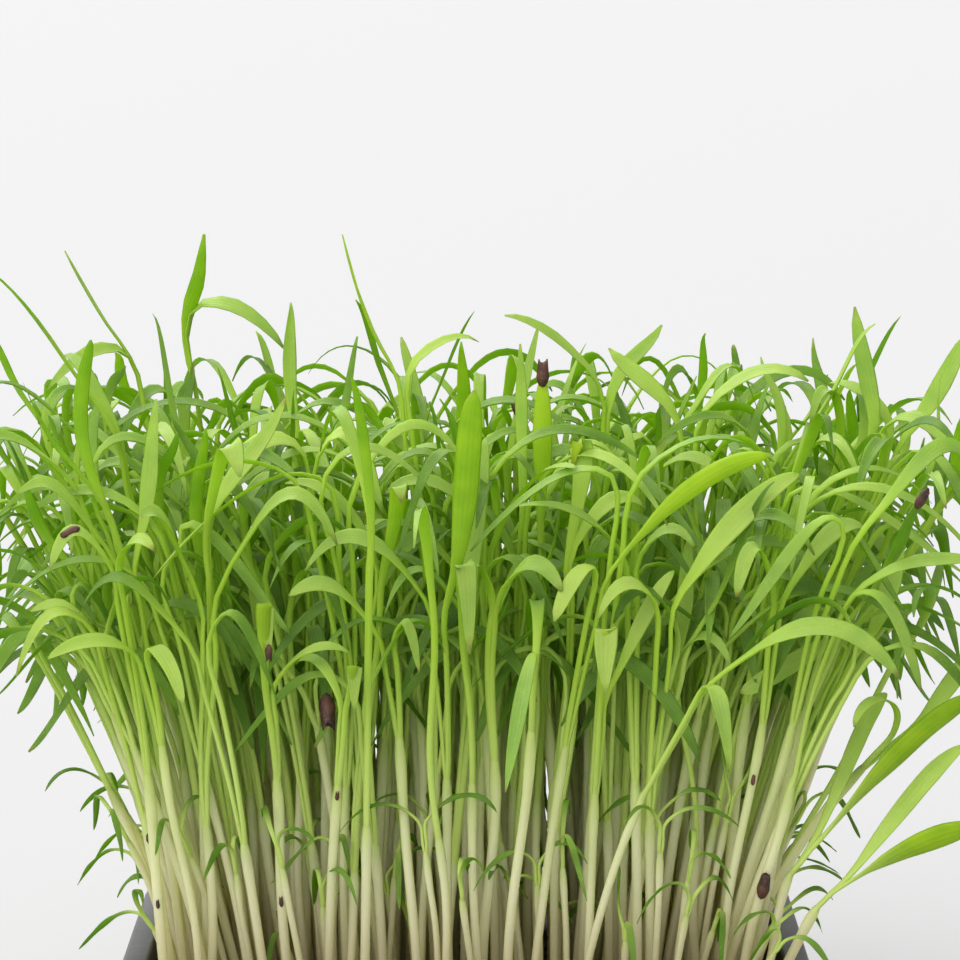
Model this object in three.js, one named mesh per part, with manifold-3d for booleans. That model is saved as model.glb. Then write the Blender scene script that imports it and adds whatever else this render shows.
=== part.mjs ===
// A tray of microgreens: a shallow plastic tray with a turned-down rim, a bed of soil that fills it,
// and a dense stand of narrow-leaved seedlings. Each seedling is a thin pale stem with two strap-shaped
// seed leaves, and the seedlings of one tuft share the plug of matted roots that stands in the soil.
// Millimetres, +Z up, origin at the middle of the tray's underside, the front of the stand towards -Y.

import * as THREE from "three";
import { mergeVertices } from "three/addons/utils/BufferGeometryUtils.js";
import Module from "manifold-3d";

const wasm = await Module();
wasm.setup();

// Tray
const TRAY_LENGTH = 78;
const TRAY_WIDTH = 66;
const TRAY_HEIGHT = 23;
const RIM_REACH = 3;
const RIM_THICK = 1.1;
const LIP_DROP = 3;
const WALL = 1.1;
const FLOOR = 1.3;
const TAPER = 2.4;
const FOOT_CHAMFER = 1.6;
const MOUTH_CORNER = 8;
const FLUTE_RADIUS = 1.2;
const FLUTE_PITCH = 10;
const FLUTE_LOW = 3;
const FLUTE_HIGH = 18.5;
const DRAIN_RADIUS = 2;
const DRAIN_PITCH = 20;
const DRAIN_ROW = 15;
const CHANNEL_LONG = 52;
const CHANNEL_WIDE = 3;
const CHANNEL_DEEP = 0.5;

// Soil and the root plugs in it
const FIT_GAP = 0.4;
const SOIL_TOP = 20;
const PLUG_RADIUS = 3.7;
const PLUG_TAPER = 0.8;
const PLUG_DEEP = 8;
const TUFT_ROWS = 5;
const TUFTS_IN_ROW = 8;
const TUFT_PITCH = 8.6;
const ROW_PITCH = 12;
const ROOT_SPREAD = 2.7;

// Seedlings
const SEED = 41;
const SEEDLINGS_IN_TUFT = 4;
const TRIES = 120;
const LATE_SHARE = 0.1;
const LATE_SIZE = 0.45;
const UPRIGHT_SHARE = 0.14;
const LEAN = { x: 0.3, y: 0.15 };

// Stems, round ones drawn with three sides
const STEM_RADIUS = 0.72;
const LATE_STEM_RADIUS = 0.5;
const STEM_SUNK = 2.6;
const STEM_TURN_IN_STEP = 0.35;

// Leaves
const LEAF_THICK = 0.62;
const LEAF_NECK = 0.34;
const LEAF_FULL_AT = 0.52;
const LEAF_TIP_FROM = 0.8;
const LEAF_TURN_IN_STEP = 0.8;
const LEAVES_OPEN = 0.45;
const NECK_SUNK = 1.4;
const NECK_RADIUS = 0.2;

// The empty seed coat that some leaves still carry
const HUSK_LONG = 1.9;
const HUSK_ROUND = 0.85;

// The clear air that stems and leaves keep between tufts, and how much of it within one tuft
const STEM_CLEAR = 1.05;
const LEAF_CLEAR = 0.8;
const CLEAR_IN_TUFT = 0.66;
const SAMPLE_PITCH = 1.1;
const SAMPLES_ACROSS = [-0.66, 0, 0.66];
const CELL = 2.2;

const UP = new THREE.Vector3(0, 0, 1);
const mouth = { x: TRAY_LENGTH / 2 - RIM_REACH, y: TRAY_WIDTH / 2 - RIM_REACH };
const core = { x: mouth.x - MOUTH_CORNER, y: mouth.y - MOUTH_CORNER };
const bed = { x: ((TUFTS_IN_ROW - 1) * TUFT_PITCH) / 2, y: ((TUFT_ROWS - 1) * ROW_PITCH) / 2 };

const materials = {
  tray: new THREE.MeshStandardMaterial({ color: 0x1d1f1f, roughness: 0.45, metalness: 0 }),
  soil: new THREE.MeshStandardMaterial({ color: 0x2f231a, roughness: 0.95, metalness: 0 }),
  seedling: new THREE.MeshStandardMaterial({ color: 0x7fb535, roughness: 0.5, metalness: 0 }),
};

// Solids

// A closed geometry as a solid that can be cut and joined.
function solidOf(geometry) {
  geometry.deleteAttribute("normal");
  geometry.deleteAttribute("uv");
  const merged = mergeVertices(geometry, 1e-4);
  const vertProperties = merged.attributes.position.array;
  return new wasm.Manifold(
    new wasm.Mesh({ numProp: 3, vertProperties, triVerts: new Uint32Array(merged.index.array) }),
  );
}

// A solid as a named mesh whose own origin lies at a point of the tray's frame.
function meshOf(name, solid, material, at = new THREE.Vector3()) {
  const { vertProperties, triVerts } = solid.getMesh();
  const geometry = new THREE.BufferGeometry()
    .setAttribute("position", new THREE.BufferAttribute(vertProperties, 3))
    .setIndex(new THREE.BufferAttribute(triVerts, 1))
    .translate(-at.x, -at.y, -at.z);
  const mesh = new THREE.Mesh(geometry, material);
  mesh.name = name;
  mesh.position.copy(at);
  return mesh;
}

// Moves each vertex of an extrusion whose depth counts its rings to the place that `place` gives.
function reshape(geometry, place) {
  const position = geometry.attributes.position;
  for (let i = 0; i < position.count; i += 1) {
    const { x, y, z } = place(position.getX(i), position.getY(i), Math.round(position.getZ(i)));
    position.setXYZ(i, x, y, z);
  }
  return geometry;
}

function extrudeRings(shape, rings) {
  const steps = rings - 1;
  return new THREE.ExtrudeGeometry(shape, { depth: steps, steps, bevelEnabled: false, curveSegments: 3 });
}

// A rounded rectangle through levels of [height, how far out of the mouth's edge].
function loft(levels) {
  const outline = new THREE.Shape();
  outline.absarc(core.x, -core.y, MOUTH_CORNER, -Math.PI / 2, 0);
  outline.absarc(core.x, core.y, MOUTH_CORNER, 0, Math.PI / 2);
  outline.absarc(-core.x, core.y, MOUTH_CORNER, Math.PI / 2, Math.PI);
  outline.absarc(-core.x, -core.y, MOUTH_CORNER, Math.PI, 1.5 * Math.PI);
  const geometry = reshape(extrudeRings(outline, levels.length), (x, y, ring) => {
    const [height, out] = levels[ring];
    const corner = {
      x: THREE.MathUtils.clamp(x, -core.x, core.x),
      y: THREE.MathUtils.clamp(y, -core.y, core.y),
    };
    const reach = (MOUTH_CORNER + out) / MOUTH_CORNER;
    return new THREE.Vector3(corner.x + (x - corner.x) * reach, corner.y + (y - corner.y) * reach, height);
  });
  return solidOf(geometry);
}

function uprightRod(radius, lowRadius, height, sides, x, y, low) {
  const rod = new THREE.CylinderGeometry(radius, lowRadius, height, sides);
  return solidOf(rod.rotateX(Math.PI / 2).translate(x, y, low + height / 2));
}

function block(sizeX, sizeY, sizeZ, x, y, z) {
  return solidOf(new THREE.BoxGeometry(sizeX, sizeY, sizeZ).translate(x, y, z));
}

// Tray

// How far out the wall's inner face lies at a height, counted from the mouth.
function innerFace(height) {
  return (-TAPER * (TRAY_HEIGHT - height)) / TRAY_HEIGHT;
}

function trayShell() {
  const underRim = TRAY_HEIGHT - RIM_THICK;
  const lipInside = RIM_REACH - RIM_THICK;
  const outside = loft([
    [0, innerFace(0) + WALL - FOOT_CHAMFER],
    [FOOT_CHAMFER, innerFace(FOOT_CHAMFER) + WALL],
    [underRim, innerFace(underRim) + WALL],
    [underRim, lipInside],
    [TRAY_HEIGHT - LIP_DROP, lipInside],
    [TRAY_HEIGHT - LIP_DROP, RIM_REACH],
    [TRAY_HEIGHT - RIM_THICK / 2, RIM_REACH],
    [TRAY_HEIGHT, RIM_REACH - RIM_THICK / 2],
  ]);
  const inside = loft([
    [FLOOR, innerFace(FLOOR) - FOOT_CHAMFER],
    [FLOOR + FOOT_CHAMFER, innerFace(FLOOR + FOOT_CHAMFER)],
    [TRAY_HEIGHT, innerFace(TRAY_HEIGHT)],
    [TRAY_HEIGHT + 1, innerFace(TRAY_HEIGHT) + 1],
  ]);
  return { outside, inside };
}

// Stiffening flutes up the outside of the walls, each leaning with its wall.
function flutes() {
  const length = FLUTE_HIGH - FLUTE_LOW;
  const middle = (FLUTE_LOW + FLUTE_HIGH) / 2;
  const lean = Math.atan(TAPER / TRAY_HEIGHT);
  const face = innerFace(middle) + WALL;
  const made = [];
  const add = (along, out, alongX) => {
    const flute = new THREE.CylinderGeometry(FLUTE_RADIUS, FLUTE_RADIUS, length, 4).rotateX(Math.PI / 2);
    const side = Math.sign(out);
    if (alongX) flute.rotateX(-side * lean).translate(along, out, middle);
    else flute.rotateY(side * lean).translate(out, along, middle);
    made.push(solidOf(flute));
  };
  for (const side of [-1, 1]) {
    const onLong = Math.floor(core.x / FLUTE_PITCH);
    for (let i = -onLong; i <= onLong; i += 1) add(i * FLUTE_PITCH, side * (mouth.y + face), true);
    const onShort = Math.floor(core.y / FLUTE_PITCH);
    for (let i = -onShort; i <= onShort; i += 1) add(i * FLUTE_PITCH, side * (mouth.x + face), false);
  }
  return made;
}

// Two shallow channels under the floor, each with three drain holes in it.
function drains() {
  const made = [];
  for (const side of [-1, 1]) {
    made.push(block(CHANNEL_LONG, CHANNEL_WIDE, 2 * CHANNEL_DEEP, 0, side * DRAIN_ROW, 0));
    for (const i of [-1, 0, 1]) {
      made.push(uprightRod(DRAIN_RADIUS, DRAIN_RADIUS, FLOOR + 2, 8, i * DRAIN_PITCH, side * DRAIN_ROW, -1));
    }
  }
  return made;
}

function tray() {
  const { outside, inside } = trayShell();
  const fluted = flutes().reduce((whole, flute) => whole.add(flute), outside);
  return drains().reduce((whole, drain) => whole.subtract(drain), fluted.subtract(inside));
}

// Soil

// The middles of the tufts: rows of eight and seven by turns, so that the plugs lie staggered.
function tuftPlaces() {
  const places = [];
  for (let row = 0; row < TUFT_ROWS; row += 1) {
    const inRow = TUFTS_IN_ROW - (row % 2);
    for (let i = 0; i < inRow; i += 1) {
      places.push({ x: (i - (inRow - 1) / 2) * TUFT_PITCH, y: row * ROW_PITCH - bed.y });
    }
  }
  return places;
}

function plug(place, gap, above) {
  const radius = PLUG_RADIUS + gap;
  const low = SOIL_TOP - PLUG_DEEP - gap;
  return uprightRod(radius, radius - PLUG_TAPER, PLUG_DEEP + gap + above, 6, place.x, place.y, low);
}

// Soil up to its level in the tray, with a plain pocket for each plug.
function soil(places) {
  const low = FLOOR + FIT_GAP;
  const bulk = loft([
    [low, innerFace(low) - FOOT_CHAMFER - FIT_GAP],
    [low + FOOT_CHAMFER, innerFace(low + FOOT_CHAMFER) - FIT_GAP],
    [SOIL_TOP, innerFace(SOIL_TOP) - FIT_GAP],
  ]);
  return places.reduce((whole, place) => whole.subtract(plug(place, FIT_GAP, 1)), bulk);
}

// Seedlings

function randomSource(seed) {
  let state = (seed * 7919 + 12345) % 2147483647;
  const next = () => {
    state = (state * 16807) % 2147483647;
    return state / 2147483647;
  };
  next();
  next();
  return (low, high) => low + (high - low) * next();
}

// A seed leaf by its tip. `spring` is how straight it leaves the stem, and `hang` how steeply it comes
// down to its tip; a leaf that grows upwards has a negative hang. `husk` is where along it, from 0 to 1,
// the empty seed coat still sits.
function leaf(x, y, z, spring, hang, wide, husk = 0) {
  return { tip: new THREE.Vector3(x, y, z), spring, hang, wide, husk, twist: 0 };
}

function seedling(rootX, rootY, headX, headY, headZ, ...leaves) {
  const root = new THREE.Vector3(rootX, rootY, SOIL_TOP);
  return { root, head: new THREE.Vector3(headX, headY, headZ), leaves, late: false };
}

// The seedlings that stand out along the front and top of the stand.
const STANDING_OUT = [
  seedling(11.3, -27, 24.6, -30, 58, leaf(45.2, -33, 60, 12, 8, 2.9), leaf(27.6, -35, 50.4, 3, 8, 1.9)),
  seedling(-33, -26, -37.1, -31, 71.5, leaf(-43.4, -33, 71.7, 6, 6, 1.9, 0.6), leaf(-33, -35, 74, 4, 2, 2)),
  seedling(-32, -26, -39.2, -29, 63.7, leaf(-47.4, -30, 59.3, 5, 8, 2.0), leaf(-46, -24, 66, 5, 1, 1.6)),
  seedling(-28.3, -26.5, -34.2, -31, 61.6, leaf(-43.4, -35, 62.5, 4, 2, 2.0), leaf(-30, -37, 58, 4, 5, 1.9)),
  seedling(30, -22, 40.9, -25, 66.6, leaf(48.7, -28, 57.5, 5, 9, 2.0), leaf(55, -22, 71, 7, 0, 2.3)),
  seedling(-1, -24, -2.9, -26, 65.9, leaf(0.3, -28.5, 90.3, 9, -8, 2.8), leaf(-16.3, -27, 70.5, 9, 7, 2.2)),
  seedling(0.5, -26, -0.3, -27, 61.8, leaf(0.4, -32, 62.5, 15, 13, 2.3), leaf(2, -20, 84, 8, -6, 2.2)),
  seedling(2, -25, 3.2, -28, 67.2, leaf(9.9, -33, 69.1, 6, 4, 2.5), leaf(0.4, -34, 70.2, 5, 3, 2.2)),
  seedling(-5, -25, -8.3, -27, 62.9, leaf(-18, -29, 68.2, 9, 2, 2.0), leaf(-5.6, -29, 59.9, 5, 5, 1.2)),
  seedling(-28, -24, -27.7, -27, 67.2, leaf(-14.5, -29, 73.6, 15, 9, 2.4), leaf(-33.5, -31, 77, 9, 2, 2.6)),
  seedling(-25, -25, -28, -28, 75, leaf(-23.9, -32, 81.6, 13, 5, 2.8), leaf(-20, -20, 88, 6, -6, 2.2)),
  seedling(-32, -24, -36.5, -27, 70.4, leaf(-46.8, -30, 79.3, 13, 2, 2.3), leaf(-34, -22, 88.7, 8, -6, 2.2)),
  seedling(-33, -20, -37.6, -20, 84.4, leaf(-51.5, -19, 102.5, 9, -2, 1.2), leaf(-44, -14, 92, 6, 1, 1.8)),
  seedling(-19, -25, -21.5, -28, 57.5, leaf(-21, -31, 62, 12, 10, 1.8, 0.98), leaf(-13, -30, 62, 5, 2, 1.3)),
  seedling(-15, -26, -12.9, -30, 56.4, leaf(-11.9, -33.5, 56.4, 8, 7, 1.7), leaf(-18, -27, 60, 5, 2, 1.5)),
  seedling(-13, -24, -9, -22, 70, leaf(-7, -27, 78, 9, 4, 2.2), leaf(-19, -20, 79, 8, 1, 2.2)),
  seedling(13, -25, 14.5, -27, 56.4, leaf(14.9, -31, 58.2, 12, 10, 2.5), leaf(22, -24, 70, 7, -2, 1.8)),
  seedling(27, -24, 42.5, -26, 60, leaf(30.9, -31, 56, 4, 1, 2.4), leaf(48, -20, 72, 6, -3, 2.4)),
  seedling(34, -24, 39.1, -27, 34.9, leaf(55.5, -31, 43.6, 6, -1, 3.0), leaf(53.8, -25, 51, 5, -2, 2.0)),
  seedling(33.5, -21, 36.5, -22, 37.9, leaf(55.2, -22, 56, 7, -2, 2.6), leaf(46, -17, 55, 6, -1, 1.8)),
  seedling(34.5, -17, 46.8, -20, 50, leaf(42.5, -24, 53.2, 8, 5, 1.2), leaf(58, -17, 61, 6, -1, 2.0)),
  seedling(28, -22, 33.9, -23, 66.8, leaf(29.6, -27, 67.8, 9, 7, 1.9), leaf(43, -20, 74, 7, 2, 2.2)),
  seedling(3, -23, 2.7, -25, 72, leaf(11.5, -27, 81.9, 9, 0.5, 2.1), leaf(-8, -22, 78, 7, 3, 2.2)),
  seedling(10, -21, 10.8, -23, 71.5, leaf(11.3, -28, 80.9, 14, 5, 3.0), leaf(19, -18, 76, 7, 3, 2.2)),
  seedling(18, -24, 18, -25, 70.4, leaf(6.3, -28, 78, 7, 0.5, 2.2), leaf(24, -27, 73, 5, 3, 2.1)),
  seedling(8.5, -25, 14.5, -28, 69.9, leaf(31.7, -30, 83.4, 10, -0.5, 2.4), leaf(10, -32, 66, 4, 4, 1.9)),
  seedling(19, -22, 21.5, -23, 66.1, leaf(35.3, -25, 80.3, 7, -1, 2.9), leaf(15, -29, 66, 5, 5, 2.2)),
  seedling(8, -15, 8.2, -15, 75.8, leaf(8.4, -16.5, 90.6, 6, -5, 2.2, 1), leaf(16, -12, 80, 6, 4, 2.2)),
  seedling(23, -26, 22.3, -28, 58.6, leaf(23.8, -29.5, 73.1, 6, -6, 1.9), leaf(28, -32, 60, 5, 5, 1.8)),
  seedling(-4, -8, -7, -8, 88.7, leaf(-13.2, -8, 105.2, 5, -8, 1.1), leaf(1, -6, 93, 4, 2, 2.0)),
  seedling(24, -6, 25, -5, 83, leaf(37.4, -6, 88.6, 7, 3, 2.3), leaf(17, -3, 92, 6, -3, 2.2)),
  seedling(14, -2, 16, -1, 86, leaf(4.8, -2, 95.6, 6, 0, 2.3), leaf(22, 3, 94, 6, -3, 2.2)),
  seedling(35, -5, 46.8, 4, 81, leaf(45, 8, 95.6, 5, -6, 2.2), leaf(55, -2, 80, 6, 3, 2.2)),
  seedling(34.5, 4, 49.7, 8, 79.9, leaf(57.2, 10, 92.3, 5, -5, 2.3), leaf(43, 14, 86, 5, 1, 2.2)),
  seedling(35, -10, 53.4, -8, 75.2, leaf(55.1, -9, 87, 5, -5, 3.0), leaf(59, -16, 74, 5, 4, 2.2)),
  seedling(-27, 14, -33.7, 17, 92.2, leaf(-31.4, 16, 103.4, 5, -6, 2.8), leaf(-22, 14, 90, 6, 5, 2.6)),
  seedling(-33, 10, -38.4, 14, 88, leaf(-46.5, 15, 101.5, 5, -5, 1.6), leaf(-48, 8, 86, 5, 4, 2.2)),
  seedling(-18, -12, -17, -13, 80, leaf(-9.5, -15, 75, 9, 7, 2.7), leaf(-26, -15, 79, 6, 4, 2.4)),
];

// A seedling drawn for a place in the bed: the further out it grows, the further out it leans.
function drawnSeedling(place, seed) {
  const draw = randomSource(seed);
  const out = { x: place.x / bed.x, y: place.y / bed.y };
  const late = draw(0, 1) < LATE_SHARE;
  const around = draw(0, 2 * Math.PI);
  const spread = draw(0.5, ROOT_SPREAD);
  const tall = late ? draw(9, 22) : draw(36, 60);
  const root = new THREE.Vector3(spread * Math.cos(around), spread * Math.sin(around), SOIL_TOP);
  root.add(new THREE.Vector3(place.x, place.y, 0));
  const head = root.clone();
  head.x += tall * (LEAN.x * out.x * Math.abs(out.x) + draw(-0.09, 0.09));
  head.y += tall * (LEAN.y * out.y * Math.abs(out.y) + draw(-0.09, 0.09));
  head.z += tall;
  const turn = draw(0, 2 * Math.PI);
  const opening = Math.PI + draw(-0.6, 0.6);
  const leaves = [turn, turn + opening].map((azimuth) => {
    const size = late ? LATE_SIZE : 1;
    const upright = draw(0, 1) < UPRIGHT_SHARE;
    const reach = size * (upright ? draw(3, 8) : draw(9, 19));
    const rise = size * (upright ? draw(10, 18) : draw(-11, 6));
    const tip = head.clone();
    tip.x += reach * Math.cos(azimuth) + size * 4 * out.x;
    tip.y += reach * Math.sin(azimuth) + size * 3 * out.y;
    tip.z += rise;
    const spring = size * draw(6, 12);
    const hang = size * (upright ? draw(-6, -1) : draw(3, 10));
    const wide = late ? draw(1.2, 1.5) : draw(1.7, 2.4);
    return { tip, spring, hang, wide, husk: 0, twist: draw(-0.7, 0.7) };
  });
  return { root, head, leaves, late };
}

// The same seedling, moved a little more at each try, to stand clear of its neighbours.
function nudged(plan, attempt) {
  const draw = randomSource(SEED + attempt);
  const root = plan.root.clone();
  root.x += attempt * draw(-0.05, 0.05);
  root.y += attempt * draw(0, 0.15);
  const head = plan.head.clone();
  head.y += attempt * draw(-0.06, 0.1);
  const leaves = plan.leaves.map((one) => {
    const tip = one.tip.clone();
    tip.y += attempt * draw(-0.08, 0.12);
    return { ...one, tip };
  });
  return { ...plan, root, head, leaves };
}

function stemCurve({ root, head }) {
  const elbow = root.clone().lerp(head, 0.35);
  elbow.z = root.z + 0.55 * (head.z - root.z);
  return new THREE.QuadraticBezierCurve3(root, elbow, head);
}

// A leaf leaves the stem's head a little to its own side and comes round to its tip.
function leafCurve(plan, { tip, spring, hang }) {
  const { head } = plan;
  const away = tip.clone().sub(head).setZ(0);
  const knee = tip.clone().addScaledVector(away, -0.3).addScaledVector(UP, hang);
  const opening = stemCurve(plan).getTangent(1).addScaledVector(away.normalize(), LEAVES_OPEN).normalize();
  return new THREE.CubicBezierCurve3(head, head.clone().addScaledVector(opening, spring), knee, tip);
}

// Where a leaf is how wide, as a share of its full width: a narrow neck, a strap, and a rounded tip.
function widthShare(t) {
  const opened = LEAF_NECK + (1 - LEAF_NECK) * THREE.MathUtils.smoothstep(t, 0, LEAF_FULL_AT);
  const past = Math.max(0, (t - LEAF_TIP_FROM) / (1 - LEAF_TIP_FROM));
  return opened * Math.sqrt(Math.max(0.03, 1 - past * past));
}

// Rings of a swept body: each has its middle, its direction across and its outward face.
function ringsAlong(curve, steps, azimuth, measure) {
  const across = new THREE.Vector3(-Math.sin(azimuth), Math.cos(azimuth), 0);
  return Array.from({ length: steps + 1 }, (_, i) => {
    const t = i / steps;
    const along = curve.getTangent(t);
    const { halfWidth, thick, twist } = measure(t);
    const side = across.clone().addScaledVector(along, -across.dot(along)).normalize();
    side.applyAxisAngle(along, twist);
    const face = along.clone().cross(side);
    return { middle: curve.getPoint(t), side, face, halfWidth, thick };
  });
}

function azimuthOf(plan, one) {
  return Math.atan2(one.tip.y - plan.head.y, one.tip.x - plan.head.x);
}

// How many straight pieces a curve needs for each to turn by no more than `most` radians.
function stepsFor(curve, most, least) {
  const tangents = Array.from({ length: 9 }, (_, i) => curve.getTangent(i / 8));
  const turned = tangents.slice(1).reduce((sum, tangent, i) => sum + tangent.angleTo(tangents[i]), 0);
  return Math.max(least, Math.ceil(turned / most));
}

function leafRings(plan, one) {
  const curve = leafCurve(plan, one);
  const steps = stepsFor(curve, LEAF_TURN_IN_STEP, 3);
  return ringsAlong(curve, steps, azimuthOf(plan, one), (t) => ({
    halfWidth: (one.wide / 2) * widthShare(t),
    thick: (LEAF_THICK / 1.5) * (t < 1 ? 1 : 0.5),
    twist: one.twist * t,
  }));
}

function stemRings(plan) {
  const curve = stemCurve(plan);
  const steps = stepsFor(curve, STEM_TURN_IN_STEP, 2);
  const radius = plan.late ? LATE_STEM_RADIUS : STEM_RADIUS;
  return ringsAlong(curve, steps, azimuthOf(plan, plan.leaves[0]), () => ({
    halfWidth: radius * Math.sin(Math.PI / 3),
    thick: radius,
    twist: 0,
  }));
}

// The rings of a seedling's two bodies: the stem with its first leaf, and the second leaf, whose thin
// neck starts inside the stem.
function seedlingRings(plan) {
  const stem = stemRings(plan);
  const [first, second] = plan.leaves.map((one) => leafRings(plan, one));
  const growing = stemCurve(plan).getTangent(1);
  const [neck, ...blade] = second;
  const sunk = neck.middle.clone().addScaledVector(growing, -NECK_SUNK);
  const start = { ...neck, middle: sunk, halfWidth: NECK_RADIUS, thick: NECK_RADIUS };
  return { stem: stem.slice(0, -1), first, second: [start, ...blade] };
}

// A three-sided body through rings: flat or hollow on its upper face, with a keel below.
function sweep(rings) {
  const section = new THREE.Shape([
    new THREE.Vector2(-1, 0.5),
    new THREE.Vector2(0, -1),
    new THREE.Vector2(1, 0.5),
  ]);
  return solidOf(
    reshape(extrudeRings(section, rings.length), (x, y, ring) => {
      const { middle, side, face, halfWidth, thick } = rings[ring];
      return middle.clone().addScaledVector(side, x * halfWidth).addScaledVector(face, y * thick);
    }),
  );
}

function husk(plan, one) {
  const curve = leafCurve(plan, one);
  const coat = new THREE.IcosahedronGeometry(1, 0).scale(HUSK_ROUND, HUSK_ROUND, HUSK_LONG);
  coat.applyQuaternion(new THREE.Quaternion().setFromUnitVectors(UP, curve.getTangent(one.husk)));
  return solidOf(coat.translate(...curve.getPoint(one.husk).toArray()));
}

function seedlingSolid(plan) {
  const { stem, first, second } = seedlingRings(plan);
  const buried = { ...stem[0], middle: stem[0].middle.clone().addScaledVector(UP, -STEM_SUNK) };
  const whole = sweep([buried, ...stem, ...first]).add(sweep(second));
  return plan.leaves.filter((one) => one.husk > 0).reduce((sum, one) => sum.add(husk(plan, one)), whole);
}

// Points at a close pitch along a swept body, each with the radius of clear air that it claims.
function claimsAlong(rings, radius) {
  const points = [];
  rings.slice(1).forEach((to, i) => {
    const from = rings[i];
    const count = Math.ceil(from.middle.distanceTo(to.middle) / SAMPLE_PITCH);
    const edge = (ring, share) => ring.middle.clone().addScaledVector(ring.side, share * ring.halfWidth);
    for (let j = 0; j < count; j += 1) {
      for (const share of SAMPLES_ACROSS) {
        points.push({ at: edge(from, share).lerp(edge(to, share), j / count), radius });
      }
    }
  });
  return points;
}

function claims(plan) {
  const { stem, first, second } = seedlingRings(plan);
  const upToHead = claimsAlong([...stem, first[0]], STEM_CLEAR);
  return [...upToHead, ...claimsAlong(first, LEAF_CLEAR), ...claimsAlong(second, LEAF_CLEAR)];
}

const claimed = new Map();

function cellOf(value) {
  return Math.floor(value / CELL);
}

function isClear(points, tuft) {
  return points.every(({ at, radius }) => {
    for (let x = cellOf(at.x) - 1; x <= cellOf(at.x) + 1; x += 1) {
      for (let y = cellOf(at.y) - 1; y <= cellOf(at.y) + 1; y += 1) {
        for (let z = cellOf(at.z) - 1; z <= cellOf(at.z) + 1; z += 1) {
          const others = claimed.get(`${x},${y},${z}`) ?? [];
          const share = (other) => (other.tuft === tuft ? CLEAR_IN_TUFT : 1);
          const near = (other) => other.at.distanceTo(at) < (other.radius + radius) * share(other);
          if (others.some(near)) return false;
        }
      }
    }
    return true;
  });
}

function claim(points, tuft) {
  for (const { at, radius } of points) {
    const key = `${cellOf(at.x)},${cellOf(at.y)},${cellOf(at.z)}`;
    if (!claimed.has(key)) claimed.set(key, []);
    claimed.get(key).push({ at, radius, tuft });
  }
}

function nearest(places, point) {
  const distances = places.map(({ x, y }) => Math.hypot(x - point.x, y - point.y));
  return distances.indexOf(Math.min(...distances));
}

// Gives a seedling to the tuft whose plug is nearest, and moves its root onto that plug.
function rooted(plan, places) {
  const tuft = nearest(places, plan.root);
  const middle = new THREE.Vector3(places[tuft].x, places[tuft].y, SOIL_TOP);
  const root = plan.root.clone().sub(middle).clampLength(0, ROOT_SPREAD).add(middle);
  return { ...plan, root, tuft };
}

// The first of a seedling's tries that stands clear of every other one, or nothing.
function firstClear(planFor) {
  for (let attempt = 0; attempt < TRIES; attempt += 1) {
    const plan = planFor(attempt);
    const points = claims(plan);
    if (isClear(points, plan.tuft)) {
      claim(points, plan.tuft);
      return [plan];
    }
  }
  return [];
}

// The seedlings of the whole stand, those that stand out first.
function stand(places) {
  const all = STANDING_OUT.flatMap((plan) => {
    return firstClear((attempt) => rooted(nudged(plan, attempt), places));
  });
  for (let k = 0; k < SEEDLINGS_IN_TUFT; k += 1) {
    places.forEach((place, tuft) => {
      if (all.filter((plan) => plan.tuft === tuft).length > k) return;
      const seed = (attempt) => SEED + tuft * 4096 + k * 256 + attempt;
      all.push(...firstClear((attempt) => rooted(drawnSeedling(place, seed(attempt)), places)));
    });
  }
  return all;
}

const places = tuftPlaces();
const bedGroup = new THREE.Group();
bedGroup.add(meshOf("soil", soil(places), materials.soil));
const seedlings = stand(places);
places.forEach((place, tuft) => {
  const plans = seedlings.filter((plan) => plan.tuft === tuft);
  const whole = plans.reduce((sum, plan) => sum.add(seedlingSolid(plan)), plug(place, 0, 0));
  const name = `seedlings_${String(tuft + 1).padStart(2, "0")}`;
  bedGroup.add(meshOf(name, whole, materials.seedling, new THREE.Vector3(place.x, place.y, SOIL_TOP)));
});

const part = new THREE.Group();
part.add(meshOf("tray", tray(), materials.tray));
part.add(bedGroup);

export default part;
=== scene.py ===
# %% [markdown]
# # A tray of microgreens
# The object is a shallow plastic tray of soil with a dense stand of narrow-leaved seedlings in it. The
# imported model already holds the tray, the soil and less than a quarter of the seedlings, as plain faceted
# solids at their real size. This notebook loads them as a fixed frame, grows a fine seedling on each plain
# one, fills the gaps between them, and gives every surface its finish.

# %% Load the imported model
import math

import bmesh
import bpy

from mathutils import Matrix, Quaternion, Vector, noise
from mathutils.kdtree import KDTree


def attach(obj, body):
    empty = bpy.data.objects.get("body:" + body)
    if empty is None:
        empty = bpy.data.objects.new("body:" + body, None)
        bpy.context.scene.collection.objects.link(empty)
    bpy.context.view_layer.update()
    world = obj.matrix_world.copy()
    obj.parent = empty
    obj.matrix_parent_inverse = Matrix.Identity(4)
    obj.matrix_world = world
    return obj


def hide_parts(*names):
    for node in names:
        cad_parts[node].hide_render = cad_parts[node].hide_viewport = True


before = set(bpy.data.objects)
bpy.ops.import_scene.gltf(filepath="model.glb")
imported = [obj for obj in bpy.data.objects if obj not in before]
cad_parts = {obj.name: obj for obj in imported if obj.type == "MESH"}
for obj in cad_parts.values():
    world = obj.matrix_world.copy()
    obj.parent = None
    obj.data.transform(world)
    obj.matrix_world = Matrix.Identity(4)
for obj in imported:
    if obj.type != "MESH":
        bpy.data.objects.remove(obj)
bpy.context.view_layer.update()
MM = 0.001

# %% [markdown]
# ## Camera and light
# The stand is seen almost level, eight degrees from above, and from far enough away that near and far
# stems have nearly the same size. A long lens does that. The light is that of a white studio: a bright
# even surround, one large soft lamp above and behind, so that light comes through the thin leaves, and
# a weaker one in front. The floor comes last, after the object.

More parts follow.
